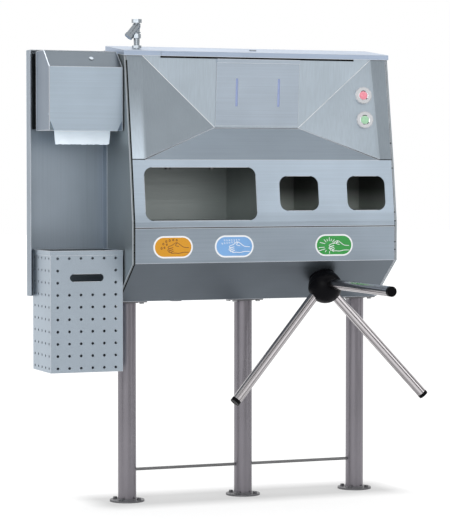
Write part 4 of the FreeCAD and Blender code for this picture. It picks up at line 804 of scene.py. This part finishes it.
def hanging_towel():
    """The towel that waits in the mouth: a soft sheet with a rippled, deckled lower edge."""
    width = stack_high.x - stack_low.x - 2 * MM
    length = 70 * MM
    columns, rows = 60, 26
    top = stack_low.z + length
    built = bmesh.new()
    grid = []
    for row in range(rows + 1):
        down = row / rows
        line = []
        for column in range(columns + 1):
            across = column / columns
            x = stack_low.x + 1 * MM + width * across
            taper = 5 * MM * down * down * (1 if across < 0.5 else -1) * abs(across - 0.5) * 2
            ripple = 1.6 * MM * math.sin(across * 17 + 0.6) * down
            crease = 1.3 * MM * noise.noise(Vector((across * 7, down * 2.5, 3.1))) * down
            fringe = 1.6 * MM * noise.noise(Vector((across * 24, 8.3, 0.4))) if row == rows else 0.0
            y = stack_low.y + 2.6 * MM + ripple * 0.6 + crease
            line.append(built.verts.new((x + taper, y, top - length * down + fringe + 0.8 * MM)))
        grid.append(line)
    for upper, lower in zip(grid, grid[1:]):
        for column in range(columns):
            built.faces.new([lower[column], lower[column + 1], upper[column + 1], upper[column]])
    piece = add_piece("towel_sheet", mesh_from("towel_sheet", built), "paper", "cabinet", True)
    return piece


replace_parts(towel_pack(), "towel_stack")
hanging_towel()


# ---- floor, light and camera ---------------------------------------------------------------------

def ray_kind(tree):
    """1 for camera, glossy and transmission rays, so that metal shows the background too."""
    path = tree.nodes.new("ShaderNodeLightPath")
    total = path.outputs["Is Camera Ray"]
    for name in ("Is Glossy Ray", "Is Transmission Ray"):
        larger = tree.nodes.new("ShaderNodeMath")
        larger.operation = "MAXIMUM"
        tree.links.new(total, larger.inputs[0])
        tree.links.new(path.outputs[name], larger.inputs[1])
        total = larger.outputs["Value"]
    return total


def make_world():
    world = bpy.data.worlds.new("studio")
    scene.world = world
    world.use_nodes = True
    tree = world.node_tree
    background = tree.nodes["Background"]
    background.inputs["Color"].default_value = (1, 1, 1, 1)
    tree.links.new(spread(tree, ray_kind(tree), 0.85, 1.0, 0, 1), background.inputs["Strength"])


def soft_band(tree, along, half, feather):
    """1 within a half width of the middle, falling to 0 over a feather."""
    away = tree.nodes.new("ShaderNodeMath")
    away.operation = "ABSOLUTE"
    tree.links.new(along, away.inputs[0])
    return spread(tree, away.outputs["Value"], 1.0, 0.0, half, half + feather)


def product(tree, first, second):
    """Two values multiplied."""
    node = tree.nodes.new("ShaderNodeMath")
    node.operation = "MULTIPLY"
    tree.links.new(first, node.inputs[0])
    tree.links.new(second, node.inputs[1])
    return node.outputs["Value"]


def make_floor():
    """A pale floor: white far away, and with a soft band of shade between and around the feet."""
    built = bmesh.new()
    bmesh.ops.create_grid(built, x_segments=2, y_segments=2, size=30)
    mesh = mesh_from("floor", built)
    pale = (0.95, 0.95, 0.95)
    material, tree, shader = new_material("floor_white", pale, 0.9)
    shader.inputs["Specular IOR Level"].default_value = 0.0
    coords = tree.nodes.new("ShaderNodeTexCoord")
    away = tree.nodes.new("ShaderNodeVectorMath")
    away.operation = "LENGTH"
    tree.links.new(coords.outputs["Object"], away.inputs[0])
    fade = product(tree, spread(tree, away.outputs["Value"], 0.5, 1.0, 0.6, 1.6), ray_kind(tree))
    spot = axes_of(tree, "place")
    shade = product(tree, soft_band(tree, spot["X"], half=0.49, feather=0.09),
                    soft_band(tree, spot["Y"], half=0.08, feather=0.13))
    kept = spread(tree, shade, 1.0, 0.70, 0, 1)
    tint(tree, shader, pale, kept)
    glow = tree.nodes.new("ShaderNodeEmission")
    path = tree.nodes.new("ShaderNodeLightPath")
    strength = spread(tree, path.outputs["Is Camera Ray"], 1.04, 1.16, 0, 1)
    tree.links.new(product(tree, strength, kept), glow.inputs["Strength"])
    blend = tree.nodes.new("ShaderNodeMixShader")
    tree.links.new(fade, blend.inputs["Fac"])
    tree.links.new(shader.outputs["BSDF"], blend.inputs[1])
    tree.links.new(glow.outputs["Emission"], blend.inputs[2])
    tree.links.new(blend.outputs["Shader"], tree.nodes["Material Output"].inputs["Surface"])
    mesh.materials.append(material)
    floor = bpy.data.objects.new("floor", mesh)
    scene.collection.objects.link(floor)


def area_light(name, place, target, size, power):
    lamp = bpy.data.lights.new(name, "AREA")
    lamp.energy = power
    lamp.size = size
    holder = bpy.data.objects.new(name, lamp)
    holder.location = place
    holder.rotation_euler = (Vector(target) - Vector(place)).to_track_quat("-Z", "Y").to_euler()
    scene.collection.objects.link(holder)


def dark_card(name, place, target, width, height):
    """A dark studio flag that gives the bright metal something to reflect; no view shows it."""
    built = bmesh.new()
    bmesh.ops.create_grid(built, x_segments=1, y_segments=1, size=0.5)
    mesh = mesh_from(name, built)
    mesh.materials.append(looks["flag"])
    card = bpy.data.objects.new(name, mesh)
    card.location = place
    card.rotation_euler = (Vector(target) - Vector(place)).to_track_quat("Z", "Y").to_euler()
    card.scale = (width, height, 1)
    for kind in ("visible_camera", "visible_diffuse", "visible_shadow"):
        setattr(card, kind, False)
    scene.collection.objects.link(card)


make_world()
make_floor()
area_light("key", (-2.8, -3.4, 2.6), (0, 0, 0.9), 2.0, 34)
area_light("fill", (3.4, -2.6, 1.8), (0, 0, 0.9), 2.4, 12)
area_light("top", (0.2, 0.6, 3.6), (0, 0, 0.4), 2.2, 26)
dark_card("card_right", (3.6, -2.2, 1.2), (0, 0, 1.1), 1.5, 3.2)
dark_card("card_left", (-3.4, -0.6, 1.2), (0, 0, 1.1), 0.9, 3.2)
dark_card("card_low", (0.6, -3.6, 0.35), (0, 0, 0.7), 2.6, 0.7)
dark_card("card_high", (0.2, -2.6, 3.4), (0, 0, 1.2), 3.2, 1.0)

# The photograph's camera: its place in metres, and how far it looks down and to the right in degrees.
CAMERA_PLACE = (-2.9076, -7.1062, 1.0962)
CAMERA_DOWN, CAMERA_RIGHT = 2.33, 21.8
camera = bpy.data.objects.new("camera", bpy.data.cameras.new("camera"))
camera.data.lens = 156.0
camera.data.sensor_width = 36
camera.location = CAMERA_PLACE
camera.rotation_euler = (math.radians(90 - CAMERA_DOWN), 0, math.radians(-CAMERA_RIGHT))
scene.collection.objects.link(camera)
scene.camera = camera
scene.view_settings.view_transform = "Standard"
